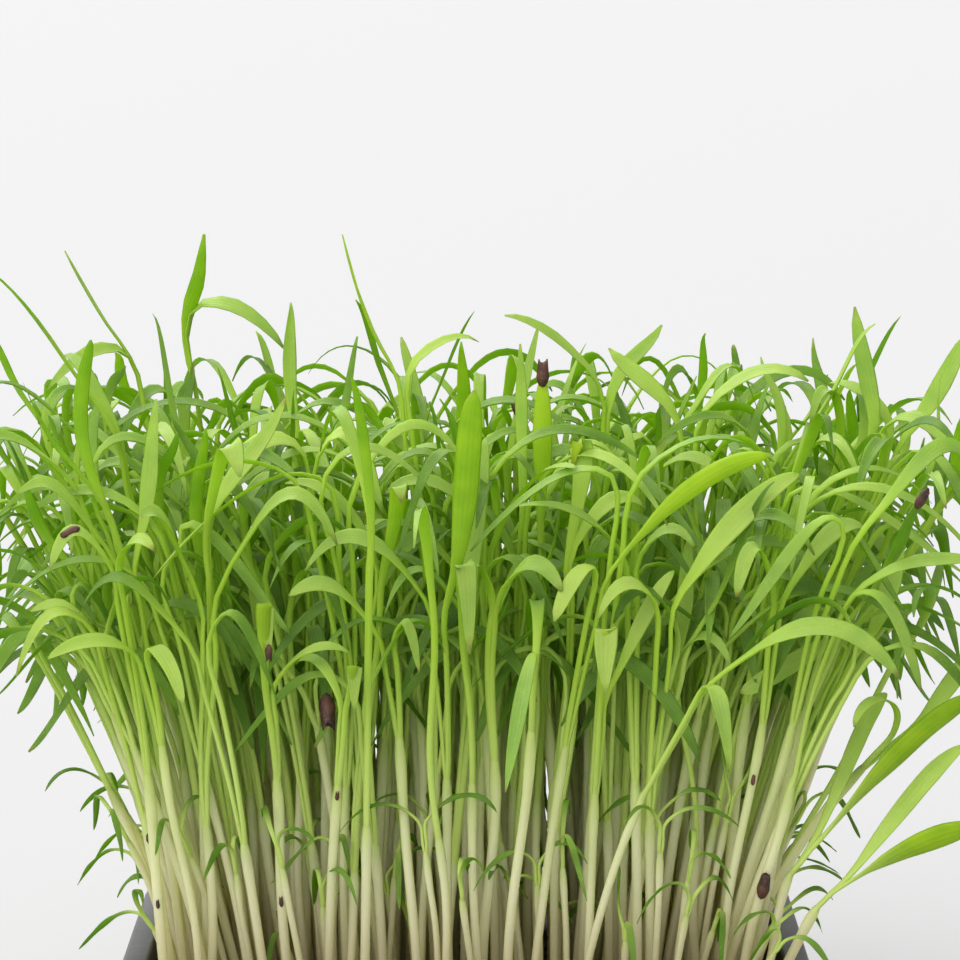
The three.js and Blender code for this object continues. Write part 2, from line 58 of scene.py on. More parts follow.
# %% Camera
TARGET = Vector((1.6, 0, 76.6)) * MM
DISTANCE = 450 * MM
ELEVATION = math.radians(8)
LENS = 148.2

camera_data = bpy.data.cameras.new("camera")
camera_data.lens = LENS
camera_data.sensor_width = 36
camera_data.clip_end = 50
camera = bpy.data.objects.new("camera", camera_data)
away = Vector((0, -math.cos(ELEVATION), math.sin(ELEVATION)))
camera.location = TARGET + DISTANCE * away
camera.rotation_euler = away.to_track_quat("Z", "Y").to_euler()
bpy.context.scene.collection.objects.link(camera)
bpy.context.scene.camera = camera
bpy.context.scene.view_settings.view_transform = "Standard"
print("camera at", tuple(round(v, 3) for v in camera.location))

# %% Surround and lamps
SURROUND = 0.84
LAMPS = {
    "lamp_behind": {"comes_from": (-0.35, 0.6, 0.8), "spread": 50, "strength": 3.2},
    "lamp_front": {"comes_from": (-0.5, -0.8, 0.75), "spread": 60, "strength": 2.1},
}

world = bpy.data.worlds.new("surround")
world.use_nodes = True
world.node_tree.nodes["Background"].inputs["Color"].default_value = (1, 1, 1, 1)
world.node_tree.nodes["Background"].inputs["Strength"].default_value = SURROUND
bpy.context.scene.world = world


def add_lamp(name, comes_from, spread, strength):
    data = bpy.data.lights.new(name, "SUN")
    data.angle = math.radians(spread)
    data.energy = strength
    lamp = bpy.data.objects.new(name, data)
    lamp.location = Vector(comes_from) * 0.5
    lamp.rotation_euler = Vector(comes_from).to_track_quat("Z", "Y").to_euler()
    bpy.context.scene.collection.objects.link(lamp)


for lamp_name, lamp in LAMPS.items():
    add_lamp(lamp_name, **lamp)
print("lamps", list(LAMPS))

# %% [markdown]
# ## Arithmetic on sockets
# A pattern is a sum of small calculations, and so is the shape of a leaf. Written as nodes one by one
# they are hard to read. This class wraps a socket, so that an expression on it adds the Math or Vector
# Math nodes, in a material as well as in a Geometry Nodes tree.


# %% A socket that can be calculated with
def is_vector(value):
    if isinstance(value, Wire):
        return value.socket.type in {"VECTOR", "RGBA"}
    return hasattr(value, "__len__")


class Wire:
    """A socket of a node tree. Arithmetic on it adds the nodes for it."""

    def __init__(self, tree, socket=None):
        self.tree = tree
        self.socket = socket

    def add(self, kind, inputs=(), output=0, **settings):
        """Adds any node: its settings, then the values or links of its sockets."""
        node = self.tree.nodes.new(kind)
        for name, value in settings.items():
            setattr(node, name, value)
        pairs = inputs.items() if isinstance(inputs, dict) else enumerate(inputs)
        for key, value in pairs:
            if isinstance(value, Wire):
                self.tree.links.new(value.socket, node.inputs[key])
            else:
                node.inputs[key].default_value = value
        return Wire(self.tree, node.outputs[output])

    def calc(self, operation, *values):
        if any(is_vector(value) for value in values):
            return self.add("ShaderNodeVectorMath", values, operation=operation)
        return self.add("ShaderNodeMath", values, operation=operation)

    def __add__(self, other):
        return self.calc("ADD", self, other)

    def __radd__(self, other):
        return self.calc("ADD", other, self)

    def __sub__(self, other):
        return self.calc("SUBTRACT", self, other)

    def __rsub__(self, other):
        return self.calc("SUBTRACT", other, self)

    def __mul__(self, other):
        if is_vector(self) and not is_vector(other):
            return self.add("ShaderNodeVectorMath", {0: self, 3: other}, operation="SCALE")
        if is_vector(other) and not is_vector(self):
            return self.add("ShaderNodeVectorMath", {0: other, 3: self}, operation="SCALE")
        return self.calc("MULTIPLY", self, other)

    __rmul__ = __mul__

    def __truediv__(self, other):
        return self.calc("DIVIDE", self, other)

    def sin(self):
        return self.calc("SINE", self)

    def cos(self):
        return self.calc("COSINE", self)

    def root(self):
        return self.calc("SQRT", self)

    def at_least(self, other):
        return self.calc("MAXIMUM", self, other)

    def unit(self):
        return self.calc("NORMALIZE", self)

    def dot(self, other):
        return self.add("ShaderNodeVectorMath", (self, other), output=1, operation="DOT_PRODUCT")

    def cross(self, other):
        return self.calc("CROSS_PRODUCT", self, other)

    def smooth(self, low, high):
        """0 below low, 1 above high, and a soft step between them."""
        return self.add("ShaderNodeMapRange", (self, low, high, 0.0, 1.0), interpolation_type="SMOOTHSTEP")

    def blend(self, first, second):
        """The mix of two colours, with this socket as the share of the second."""
        return self.add("ShaderNodeMix", {0: self, 6: first, 7: second}, output=2, data_type="RGBA")

    def component(self, index):
        return self.add("ShaderNodeSeparateXYZ", (self,), output=index)


# %% [markdown]
# ## Where the seedlings stand
# The plain solids were laid out by a rule with seeded draws, and each draw that would have crossed a
# neighbour was thrown away. Here the same rule makes the same draws. Which of them was kept is read
# from the solids themselves: a kept seedling has the tips of its leaves among the corners of its node.

# %% Driving sizes, in millimetres
TRAY_LENGTH = 78
TRAY_WIDTH = 66
TRAY_HEIGHT = 23
RIM_REACH = 3
RIM_THICK = 1.1
LIP_DROP = 3
WALL = 1.1
FLOOR = 1.3
TAPER = 2.4
FOOT_CHAMFER = 1.6
MOUTH_CORNER = 8
FLUTE_RADIUS = 1.2
FLUTE_PITCH = 10
FLUTE_LOW = 3
FLUTE_HIGH = 18.5
DRAIN_RADIUS = 2
DRAIN_PITCH = 20
DRAIN_ROW = 15
CHANNEL_LONG = 52
CHANNEL_WIDE = 3
CHANNEL_DEEP = 0.5
FIT_GAP = 0.4
SOIL_TOP = 20
PLUG_RADIUS = 3.7
PLUG_DEEP = 8
TUFT_ROWS = 5
TUFTS_IN_ROW = 8
TUFT_PITCH = 8.6
ROW_PITCH = 12
ROOT_SPREAD = 2.7
SEED = 41
SEEDS_FOR_TUFT = 4096
SEEDS_FOR_SEEDLING = 256
SEEDLINGS_IN_TUFT = 4
TRIES = 120
LATE_SHARE = 0.1
LATE_SIZE = 0.45
UPRIGHT_SHARE = 0.14
LEAN_X = 0.3
LEAN_Y = 0.15
TIPS_OUT_X = 4
TIPS_OUT_Y = 3
ELBOW_ALONG = 0.35
ELBOW_HIGH = 0.55
KNEE_BACK = 0.3
LEAVES_OPEN = 0.45
BED_X = (TUFTS_IN_ROW - 1) * TUFT_PITCH / 2
BED_Y = (TUFT_ROWS - 1) * ROW_PITCH / 2
UP = Vector((0, 0, 1))


# %% Seeded draws
PRIME = 2147483647
FACTOR = 16807
SEED_FACTOR = 7919
SEED_OFFSET = 12345


def random_source(seed):
    """Numbers of a simple generator that gives the same run on any machine."""
    state = (seed * SEED_FACTOR + SEED_OFFSET) % PRIME

    def draw(low, high):
        nonlocal state
        state = state * FACTOR % PRIME
        return low + (high - low) * (state / PRIME)

    draw(0, 1)
    draw(0, 1)
    return draw


# %% A seedling: root, head and two leaves
def leaf_plan(tip, spring, hang, wide, twist=0, husk=0, husk_size=1):
    """A seed leaf by its tip. Spring is how straight it starts, hang how steeply it comes down, and husk
    how far along it a seed coat sits, where it has one."""
    return {
        "tip": tip, "spring": spring, "hang": hang, "wide": wide, "twist": twist,
        "husk": husk, "husk_size": husk_size,
    }


def seedling_plan(root, head, leaves, late=False, stands_out=False):
    return {
        "root": root, "head": head, "leaves": leaves,
        "late": late, "stands_out": stands_out, "specks": [],
    }


def leaf(x, y, z, spring, hang, wide, husk=0, husk_size=1):
    return leaf_plan(Vector((x, y, z)), spring, hang, wide, 0, husk, husk_size)


def seedling(root_x, root_y, head_x, head_y, head_z, *leaves):
    root = Vector((root_x, root_y, SOIL_TOP))
    return seedling_plan(root, Vector((head_x, head_y, head_z)), leaves, stands_out=True)


STANDING_OUT = [
    seedling(11.3, -27, 24.6, -30, 58, leaf(45.2, -33, 60, 12, 8, 2.9), leaf(27.6, -35, 50.4, 3, 8, 1.9)),
    seedling(
        -33, -26, -37.1, -31, 71.5, leaf(-43.4, -33, 71.7, 6, 6, 1.9, 0.6, 0.6), leaf(-33, -35, 74, 4, 2, 2),
    ),
    seedling(-32, -26, -39.2, -29, 63.7, leaf(-47.4, -30, 59.3, 5, 8, 2), leaf(-46, -24, 66, 5, 1, 1.6)),
    seedling(-28.3, -26.5, -34.2, -31, 61.6, leaf(-43.4, -35, 62.5, 4, 2, 2), leaf(-30, -37, 58, 4, 5, 1.9)),
    seedling(30, -22, 40.9, -25, 66.6, leaf(48.7, -28, 57.5, 5, 9, 2), leaf(55, -22, 71, 7, 0, 2.3)),
    seedling(-1, -24, -2.9, -26, 65.9, leaf(0.3, -28.5, 90.3, 9, -8, 2.8), leaf(-16.3, -27, 70.5, 9, 7, 2.2)),
    seedling(0.5, -26, -0.3, -27, 61.8, leaf(0.4, -32, 62.5, 15, 13, 2.3), leaf(2, -20, 84, 8, -6, 2.2)),
    seedling(2, -25, 3.2, -28, 67.2, leaf(9.9, -33, 69.1, 6, 4, 2.5), leaf(0.4, -34, 70.2, 5, 3, 2.2)),
    seedling(-5, -25, -8.3, -27, 62.9, leaf(-18, -29, 68.2, 9, 2, 2), leaf(-5.6, -29, 59.9, 5, 5, 1.2)),
    seedling(-28, -24, -27.7, -27, 67.2, leaf(-14.5, -29, 73.6, 15, 9, 2.4), leaf(-33.5, -31, 77, 9, 2, 2.6)),
    seedling(-25, -25, -28, -28, 75, leaf(-23.9, -32, 81.6, 13, 5, 2.8), leaf(-20, -20, 88, 6, -6, 2.2)),
    seedling(
        -32, -24, -36.5, -27, 70.4, leaf(-46.8, -30, 79.3, 13, 2, 2.3), leaf(-34, -22, 88.7, 8, -6, 2.2),
    ),
    seedling(-33, -20, -37.6, -20, 84.4, leaf(-51.5, -19, 102.5, 9, -2, 1.2), leaf(-44, -14, 92, 6, 1, 1.8)),
    seedling(
        -19, -25, -21.5, -28, 57.5, leaf(-21, -31, 62, 12, 10, 1.8, 0.98, 0.5), leaf(-13, -30, 62, 5, 2, 1.3),
    ),
    seedling(-15, -26, -12.9, -30, 56.4, leaf(-11.9, -33.5, 56.4, 8, 7, 1.7), leaf(-18, -27, 60, 5, 2, 1.5)),
    seedling(-13, -24, -9, -22, 70, leaf(-7, -27, 78, 9, 4, 2.2), leaf(-19, -20, 79, 8, 1, 2.2)),
    seedling(13, -25, 14.5, -27, 56.4, leaf(14.9, -31, 58.2, 12, 10, 2.5), leaf(22, -24, 70, 7, -2, 1.8)),
    seedling(27, -24, 42.5, -26, 60, leaf(30.9, -31, 56, 4, 1, 2.4), leaf(48, -20, 72, 6, -3, 2.4)),
    seedling(34, -24, 39.1, -27, 34.9, leaf(55.5, -31, 43.6, 6, -1, 3.0), leaf(53.8, -25, 51, 5, -2, 2)),
    seedling(33.5, -21, 36.5, -22, 37.9, leaf(55.2, -22, 56, 7, -2, 2.6), leaf(46, -17, 55, 6, -1, 1.8)),
    seedling(34.5, -17, 46.8, -20, 50, leaf(42.5, -24, 53.2, 8, 5, 1.2), leaf(58, -17, 61, 6, -1, 2)),
    seedling(28, -22, 33.9, -23, 66.8, leaf(29.6, -27, 67.8, 9, 7, 1.9), leaf(43, -20, 74, 7, 2, 2.2)),
    seedling(3, -23, 2.7, -25, 72, leaf(11.5, -27, 81.9, 9, 0.5, 2.1), leaf(-8, -22, 78, 7, 3, 2.2)),
    seedling(10, -21, 10.8, -23, 71.5, leaf(11.3, -28, 80.9, 14, 5, 3.0), leaf(19, -18, 76, 7, 3, 2.2)),
    seedling(18, -24, 18, -25, 70.4, leaf(6.3, -28, 78, 7, 0.5, 2.2), leaf(24, -27, 73, 5, 3, 2.1)),
    seedling(8.5, -25, 14.5, -28, 69.9, leaf(31.7, -30, 83.4, 10, -0.5, 2.4), leaf(10, -32, 66, 4, 4, 1.9)),
    seedling(19, -22, 21.5, -23, 66.1, leaf(35.3, -25, 80.3, 7, -1, 2.9), leaf(15, -29, 66, 5, 5, 2.2)),
    seedling(
        8, -15, 8.2, -15, 75.8, leaf(8.4, -16.5, 90.6, 6, -5, 2.2, 1, 0.85), leaf(16, -12, 80, 6, 4, 2.2),
    ),
    seedling(23, -26, 22.3, -28, 58.6, leaf(23.8, -29.5, 73.1, 6, -6, 1.9), leaf(28, -32, 60, 5, 5, 1.8)),
    seedling(-4, -8, -7, -8, 88.7, leaf(-13.2, -8, 105.2, 5, -8, 1.1), leaf(1, -6, 93, 4, 2, 2)),
    seedling(24, -6, 25, -5, 83, leaf(37.4, -6, 88.6, 7, 3, 2.3), leaf(17, -3, 92, 6, -3, 2.2)),
    seedling(14, -2, 16, -1, 86, leaf(4.8, -2, 95.6, 6, 0, 2.3), leaf(22, 3, 94, 6, -3, 2.2)),
    seedling(35, -5, 46.8, 4, 81, leaf(45, 8, 95.6, 5, -6, 2.2), leaf(55, -2, 80, 6, 3, 2.2)),
    seedling(34.5, 4, 49.7, 8, 79.9, leaf(57.2, 10, 92.3, 5, -5, 2.3), leaf(43, 14, 86, 5, 1, 2.2)),
    seedling(35, -10, 53.4, -8, 75.2, leaf(55.1, -9, 87, 5, -5, 3.0), leaf(59, -16, 74, 5, 4, 2.2)),
    seedling(-27, 14, -33.7, 17, 92.2, leaf(-31.4, 16, 103.4, 5, -6, 2.8), leaf(-22, 14, 90, 6, 5, 2.6)),
    seedling(-33, 10, -38.4, 14, 88, leaf(-46.5, 15, 101.5, 5, -5, 1.6), leaf(-48, 8, 86, 5, 4, 2.2)),
    seedling(-18, -12, -17, -13, 80, leaf(-9.5, -15, 75, 9, 7, 2.7), leaf(-26, -15, 79, 6, 4, 2.4)),
]
print("seedlings that stand out", len(STANDING_OUT))


# %% The rule that laid out the stand
def tuft_places():
    places = []
    for row in range(TUFT_ROWS):
        in_row = TUFTS_IN_ROW - row % 2
        for i in range(in_row):
            places.append(Vector(((i - (in_row - 1) / 2) * TUFT_PITCH, row * ROW_PITCH - BED_Y, SOIL_TOP)))
    return places


def drawn_leaf(draw, head, azimuth, late, out_x, out_y, upright_share=UPRIGHT_SHARE):
    size = LATE_SIZE if late else 1
    upright = draw(0, 1) < upright_share
    reach = size * (draw(3, 8) if upright else draw(9, 19))
    rise = size * (draw(10, 18) if upright else draw(-11, 6))
    tip = head.copy()
    tip.x += reach * math.cos(azimuth) + size * TIPS_OUT_X * out_x
    tip.y += reach * math.sin(azimuth) + size * TIPS_OUT_Y * out_y
    tip.z += rise
    spring = size * draw(6, 12)
    hang = size * (draw(-6, -1) if upright else draw(3, 10))
    wide = draw(1.2, 1.5) if late else draw(1.7, 2.4)
    twist = draw(-0.7, 0.7)
    return leaf_plan(tip, spring, hang, wide, twist)


def drawn_seedling(place, seed):
    draw = random_source(seed)
    out_x = place.x / BED_X
    out_y = place.y / BED_Y
    late = draw(0, 1) < LATE_SHARE
    around = draw(0, 2 * math.pi)
    spread = draw(0.5, ROOT_SPREAD)
    tall = draw(9, 22) if late else draw(36, 60)
    root = place + Vector((spread * math.cos(around), spread * math.sin(around), 0))
    head = root.copy()
    head.x += tall * (LEAN_X * out_x * abs(out_x) + draw(-0.09, 0.09))
    head.y += tall * (LEAN_Y * out_y * abs(out_y) + draw(-0.09, 0.09))
    head.z += tall
    turn = draw(0, 2 * math.pi)
    opening = math.pi + draw(-0.6, 0.6)
    leaves = [drawn_leaf(draw, head, azimuth, late, out_x, out_y) for azimuth in (turn, turn + opening)]
    return seedling_plan(root, head, leaves, late)


def nudged(plan, attempt):
    draw = random_source(SEED + attempt)
    root = plan["root"].copy()
    root.x += attempt * draw(-0.05, 0.05)
    root.y += attempt * draw(0, 0.15)
    head = plan["head"].copy()
    head.y += attempt * draw(-0.06, 0.1)
    leaves = []
    for one in plan["leaves"]:
        tip = one["tip"].copy()
        tip.y += attempt * draw(-0.08, 0.12)
        leaves.append({**one, "tip": tip})
    return {**plan, "root": root, "head": head, "leaves": leaves}


def rooted(plan, places):
    tuft = min(range(len(places)), key=lambda i: (places[i].xy - plan["root"].xy).length)
    off = plan["root"] - places[tuft]
    if off.length > ROOT_SPREAD:
        off = off.normalized() * ROOT_SPREAD
    return {**plan, "root": places[tuft] + off, "tuft": tuft}


# %% Curves of stem and leaf
def stem_curve(plan):
    """The four control points of a stem, whose elbow lies low and near the root."""
    root, head = plan["root"], plan["head"]
    elbow = root.lerp(head, ELBOW_ALONG)
    elbow.z = root.z + ELBOW_HIGH * (head.z - root.z)
    return root, root.lerp(elbow, 2 / 3), head.lerp(elbow, 2 / 3), head


def leaf_curve(plan, one):
    head, tip = plan["head"], one["tip"]
    _, _, below, _ = stem_curve(plan)
    growing = (head - below).normalized()
    outward = tip - head
    outward.z = 0
    knee = tip - KNEE_BACK * outward + UP * one["hang"]
    opening = (growing + LEAVES_OPEN * outward.normalized()).normalized()
    return head, head + opening * one["spring"], knee, tip


def point_on(curve, t):
    a, b, c, d = curve
    s = 1 - t
    return a * s**3 + b * (3 * s * s * t) + c * (3 * s * t * t) + d * t**3


def heading_on(curve, t):
    a, b, c, d = curve
    s = 1 - t
    return ((b - a) * s * s + (c - b) * (2 * s * t) + (d - c) * t * t).normalized()


def across_of(plan, one):
    outward = one["tip"] - plan["head"]
    azimuth = math.atan2(outward.y, outward.x)
    return Vector((-math.sin(azimuth), math.cos(azimuth), 0))


def outward_of(plan, one):
    """The level way in which a leaf leaves its head."""
    outward = one["tip"] - plan["head"]
    outward.z = 0
    return outward.normalized()


# %% Find the kept draws in the solids
LEAF_THICK_IN_SOLID = 0.62
NEAR = 0.05
COAT_ON_TIP = 0.9


def corners_of(node):
    mesh = node.data
    tree = KDTree(len(mesh.vertices))
    for index, vertex in enumerate(mesh.vertices):
        tree.insert(vertex.co / MM, index)
    tree.balance()
    return tree


def keel_tip(plan, one):
    """The lower corner of a plain leaf's last ring."""
    curve = leaf_curve(plan, one)
    along = heading_on(curve, 1)
    across = across_of(plan, one)
    side = Quaternion(along, one["twist"]) @ (across - along * across.dot(along)).normalized()
    return one["tip"] - along.cross(side) * (LEAF_THICK_IN_SOLID / 3)


def stands(plan, corners):
    tips = [keel_tip(plan, one) for one in plan["leaves"] if one["husk"] < COAT_ON_TIP]
    return all(corners[plan["tuft"]].find(tip)[2] < NEAR for tip in tips)


def kept_draw(plan_for, places, corners):
    """The first try that stands among the solids, in a list, which is empty where none does."""
    for attempt in range(TRIES):
        plan = rooted(plan_for(attempt), places)
        if stands(plan, corners):
            return [plan]
    return []


PLACES = tuft_places()
TUFT_NODES = [f"seedlings_{i + 1:02d}" for i in range(len(PLACES))]
SOLID_CORNERS = [corners_of(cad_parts[name]) for name in TUFT_NODES]

kept = []
for standing in STANDING_OUT:
    kept += kept_draw(lambda attempt: nudged(standing, attempt), PLACES, SOLID_CORNERS)
found_standing = len(kept)
for k in range(SEEDLINGS_IN_TUFT):
    for tuft, place in enumerate(PLACES):
        if sum(plan["tuft"] == tuft for plan in kept) > k:
            continue
        first = SEED + tuft * SEEDS_FOR_TUFT + k * SEEDS_FOR_SEEDLING
        kept += kept_draw(lambda attempt: drawn_seedling(place, first + attempt), PLACES, SOLID_CORNERS)
print("kept draws", found_standing, "+", len(kept) - found_standing)


# %% [markdown]
# ## Seedlings between the plain ones
# A sown tray holds far more seedlings than the plain model does. The rest are drawn here, from one seed,
# over the same bed: most of them lower and inside the stand, some only just up. A grid of small cells
# remembers which room is taken. A seedling whose stem or leaves would pass through a taken cell is drawn
# again, up to a number of tries, and the draw that shares the fewest cells stays. That keeps leaves apart
# where there is room. In the thick of the stand many still cross.

# %% Room taken by a seedling
ROOM_CELL = 1.5
ROOM_STEPS = 16
ROOM_FOR_WIDTH = 0.4


def cells_of(plan):
    """The cells that a seedling passes through, apart from those at its foot."""
    cells = set()
    stem = stem_curve(plan)
    for step in range(2, ROOM_STEPS):
        cells.add(cell_at(point_on(stem, step / ROOM_STEPS)))
    for one in plan["leaves"]:
        curve = leaf_curve(plan, one)
        across = across_of(plan, one) * one["wide"] * ROOM_FOR_WIDTH
        for step in range(2, ROOM_STEPS + 1):
            middle = point_on(curve, step / ROOM_STEPS)
            cells.update(cell_at(middle + across * side) for side in (-1, 0, 1))
    return cells


def cell_at(point):
    return tuple(math.floor(value / ROOM_CELL) for value in point)


taken = set()
for plan in kept:
    taken |= cells_of(plan)
print("cells taken by the kept draws", len(taken))

# %% Draw the seedlings between
BETWEEN = 400
JUST_UP = 56
BETWEEN_TRIES = 30
BETWEEN_SEED = 9041
UPRIGHT_BETWEEN = 0.04
REACH_BOX = Vector((58, 47, 97))
FRONT_KEPT_CLEAR = -28
PAST_BED_X = 2.2
PAST_BED_FRONT = 1.5
PAST_BED_BACK = 2


def between_seedling(draw, late):
    x = draw(-BED_X - PAST_BED_X, BED_X + PAST_BED_X)
    y = draw(-BED_Y - PAST_BED_FRONT, BED_Y + PAST_BED_BACK)
    place = Vector((x, y, SOIL_TOP))
    out_x, out_y = x / BED_X, y / BED_Y
    tall = draw(7, 24) if late else draw(36, 59)
    head = place + Vector((0, 0, tall))
    head.x += tall * (LEAN_X * out_x * abs(out_x) + draw(-0.12, 0.12))
    head.y += tall * (LEAN_Y * out_y * abs(out_y) + draw(-0.12, 0.12))
    turn = draw(0, 2 * math.pi)
    opening = math.pi + draw(-0.8, 0.8)
    own = (late, out_x, out_y, UPRIGHT_BETWEEN)
    leaves = [drawn_leaf(draw, head, azimuth, *own) for azimuth in (turn, turn + opening)]
    return seedling_plan(place, head, leaves, late)


def reaches_too_far(plan):
    tips = [one["tip"] for one in plan["leaves"]]
    if not plan["late"] and any(tip.y < FRONT_KEPT_CLEAR for tip in tips):
        return True
    return any(abs(tip.x) > REACH_BOX.x or abs(tip.y) > REACH_BOX.y or tip.z > REACH_BOX.z for tip in tips)


def find_room(draw, late):
    best, least = None, math.inf
    for _ in range(BETWEEN_TRIES):
        plan = between_seedling(draw, late)
        if reaches_too_far(plan):
            continue
        crossed = len(cells_of(plan) & taken)
        if crossed < least:
            best, least = plan, crossed
        if crossed == 0:
            break
    return best, least


between = []
crossings = 0
draw_between = random_source(BETWEEN_SEED)
for index in range(BETWEEN + JUST_UP):
    plan, crossed = find_room(draw_between, index >= BETWEEN)
    if plan is None:
        continue
    taken |= cells_of(plan)
    between.append(plan)
    crossings += crossed
print("seedlings between", len(between), "cells shared", crossings)

# %% [markdown]
# ## From a plan to strands
# A real seedling of this kind has a round white stem that ends in a slight knot. From the knot two thin
# green stalks run up side by side, and each widens into a long narrow blade. So every plan gives three
# strands: the stem up to the knot, and two stalks with their blades. A strand is one point that carries
# its curve and its measures as attributes, and the node tree further on turns each point into a surface.

# %% Measures of a strand
STEM_RADIUS = 0.5
LATE_STEM_SHARE = 0.72
KNOT_SWELL = 1.2
SWELL_FROM = 0.74
SWELL_FULL = 0.86
STEM_ENDS_FROM = 0.84
STALK_HALF = 0.34
LATE_STALK_SHARE = 0.7
STALK_THICK_SHARE = 0.8
STALKS_APART_AT_KNOT = 0.225
LATE_STALKS_APART = 0.25
WIDENS_BEFORE_BEND = 0.9
LEAST_STALK = 0.02
BLADE_HALF_THICK = 0.13
KNOT_LOW = 36
KNOT_HIGH = 56
# Leaves on heads between these heights get painted shade: the lower the head, the darker the leaves.
LOW_HEAD = 56
HIGH_HEAD = 78
LOW_HEAD_SHADED_SHARE = 0.45
STEM_SUNK = 2.4
BLADE_FILL = 0.84
LATE_BLADE_FILL = 0.52
KNOT_HIGHEST = 0.93
LATE_KNOT = 0.9
STALK_BELOW_KNOT = 0.08
STALK_STARTS = 0.2
FRONT_TIP_LATER = 0.07
FRONT_TIP_BLUNTER = 0.21
WAYWARD_SHARE = 0.22
SEEN_FROM_BACK = 10
FACE_ON = 0.8
LEAST_TURN = 0.4
THREAD_WIDE = 1.7
SWAY = 0.9
LATE_SWAY_SHARE = 0.3
FULL_TURN = 6.28

VECTORS = ("a0", "a1", "a2", "a3", "b0", "b1", "b2", "b3", "across_way", "outward", "sway")
NUMBERS = (
    "kind", "start", "stop", "bend", "wide_low", "wide_high", "thick_low", "thick_high",
    "widen_from", "widen_to", "tip_from", "twist", "show", "cup", "wave", "phase", "tone_and_shade",
    "gap_low", "gap_high", "sway_turns", "sway_phase", "point",
)


def curve_marks(letter, curve):
    return {f"{letter}{index}": point for index, point in enumerate(curve)}


def stem_strand(plan, own, draw):
    stem = stem_curve(plan)
    radius = STEM_RADIUS * (LATE_STEM_SHARE if plan["late"] else draw(0.86, 1.14))
    sunk = STEM_SUNK / max(1, plan["head"].z - plan["root"].z)
    return {
        **own, **curve_marks("a", stem), **curve_marks("b", stem),
        "across_way": Vector((1, 0, 0)), "outward": Vector((0, 0, 0)),
        "kind": 0, "start": -sunk, "stop": own["knot"], "bend": 1,
        "wide_low": radius, "wide_high": radius * KNOT_SWELL,
        "thick_low": radius, "thick_high": radius * KNOT_SWELL,
        "widen_from": SWELL_FROM, "widen_to": SWELL_FULL, "tip_from": STEM_ENDS_FROM,
        "twist": 0, "show": 0, "cup": 0, "wave": 0, "phase": 0, "gap_low": 0, "gap_high": 0, "point": 0,
    }


def turn_to_front(outward):
    """The smallest turn that brings the face of an upright blade to the front."""
    return -math.atan2(outward.y, outward.x) % math.pi - math.pi / 2


def turn_to_show(plan, one, outward, draw):
    """How far a blade turns its face to the side that it is seen from."""
    share = draw(0.25, 0.85)
    wayward = draw(0, 1) < WAYWARD_SHARE
    if not plan["stands_out"]:
        facing = 1 if one["tip"].y < SEEN_FROM_BACK else -1
        return outward.x * facing * share * (-1 if wayward else 1)
    if one["hang"] >= 0:
        return outward.x * (LEAST_TURN + (1 - LEAST_TURN) * share)
    if one["wide"] > THREAD_WIDE:
        return turn_to_front(outward) * FACE_ON
    return 0


def half_width(plan, one):
    if plan["late"]:
        return one["wide"] / 2 * LATE_BLADE_FILL
    if plan["stands_out"]:
        return one["wide"] / 2
    return one["wide"] / 2 * BLADE_FILL


def blade_strand(plan, one, own, draw):
    stem = stem_curve(plan)
    curve = leaf_curve(plan, one)
    outward = outward_of(plan, one)
    start = max(STALK_STARTS, own["knot"] - STALK_BELOW_KNOT)
    stalk = (plan["head"] - point_on(stem, start)).length
    blade = sum((after - before).length for before, after in zip(curve, curve[1:]))
    bend = stalk / (stalk + blade)
    show = turn_to_show(plan, one, outward, draw)
    stalk_half = STALK_HALF * (LATE_STALK_SHARE if plan["late"] else draw(0.9, 1.15))
    later, blunter = (FRONT_TIP_LATER, FRONT_TIP_BLUNTER) if plan["stands_out"] else (0, 0)
    return {
        **own, **curve_marks("a", stem), **curve_marks("b", curve),
        "across_way": across_of(plan, one), "outward": outward,
        "kind": 1, "start": start, "stop": 1, "bend": max(LEAST_STALK, bend),
        "wide_low": stalk_half, "wide_high": half_width(plan, one),
        "thick_low": stalk_half * STALK_THICK_SHARE, "thick_high": BLADE_HALF_THICK,
        "widen_from": bend * WIDENS_BEFORE_BEND, "widen_to": bend + (1 - bend) * draw(0.5, 0.64),
        "tip_from": draw(0.62, 0.8) + later,
        "twist": one["twist"], "show": show, "cup": draw(0.15, 0.5), "wave": draw(0.02, 0.1),
        "phase": draw(0, FULL_TURN), "gap_low": STALKS_APART_AT_KNOT, "point": draw(0.2, 0.95) - blunter,
    }


def seedling_marks(plan, draw):
    """What the three strands of a seedling share."""
    late = plan["late"]
    sway_way = draw(0, 2 * math.pi)
    sway = SWAY * draw(0.2, 1) * (LATE_SWAY_SHARE if late else 1)
    return {
        "knot": knot_share(plan, draw),
        "tone_and_shade": leaf_tone_and_shade(plan, draw),
        "gap_high": LATE_STALKS_APART if late else draw(0.35, 1),
        "sway": Vector((math.cos(sway_way), math.sin(sway_way), 0)) * sway,
        "sway_turns": draw(4, 9),
        "sway_phase": draw(0, 2 * math.pi),
    }


def leaf_tone_and_shade(plan, draw):
    """How bright the leaves are: a tone drawn at random, with painted shade over it. Late leaves and those
    lower in the stand are painted darker, and those that stand out are painted lighter.
    """
    if plan["late"]:
        return draw(0, 0.2)
    if plan["stands_out"]:
        return draw(0.55, 1)
    height = max(0, min(1, (plan["head"].z - LOW_HEAD) / (HIGH_HEAD - LOW_HEAD)))
    return draw(0, 0.8) * (LOW_HEAD_SHADED_SHARE + (1 - LOW_HEAD_SHADED_SHARE) * height)


def knot_share(plan, draw):
    """How far up its stem curve a seedling has its knot."""
    if plan["late"]:
        return LATE_KNOT
    tall = plan["head"].z - plan["root"].z
    return min(KNOT_HIGHEST, (draw(KNOT_LOW, KNOT_HIGH) - SOIL_TOP) / tall)


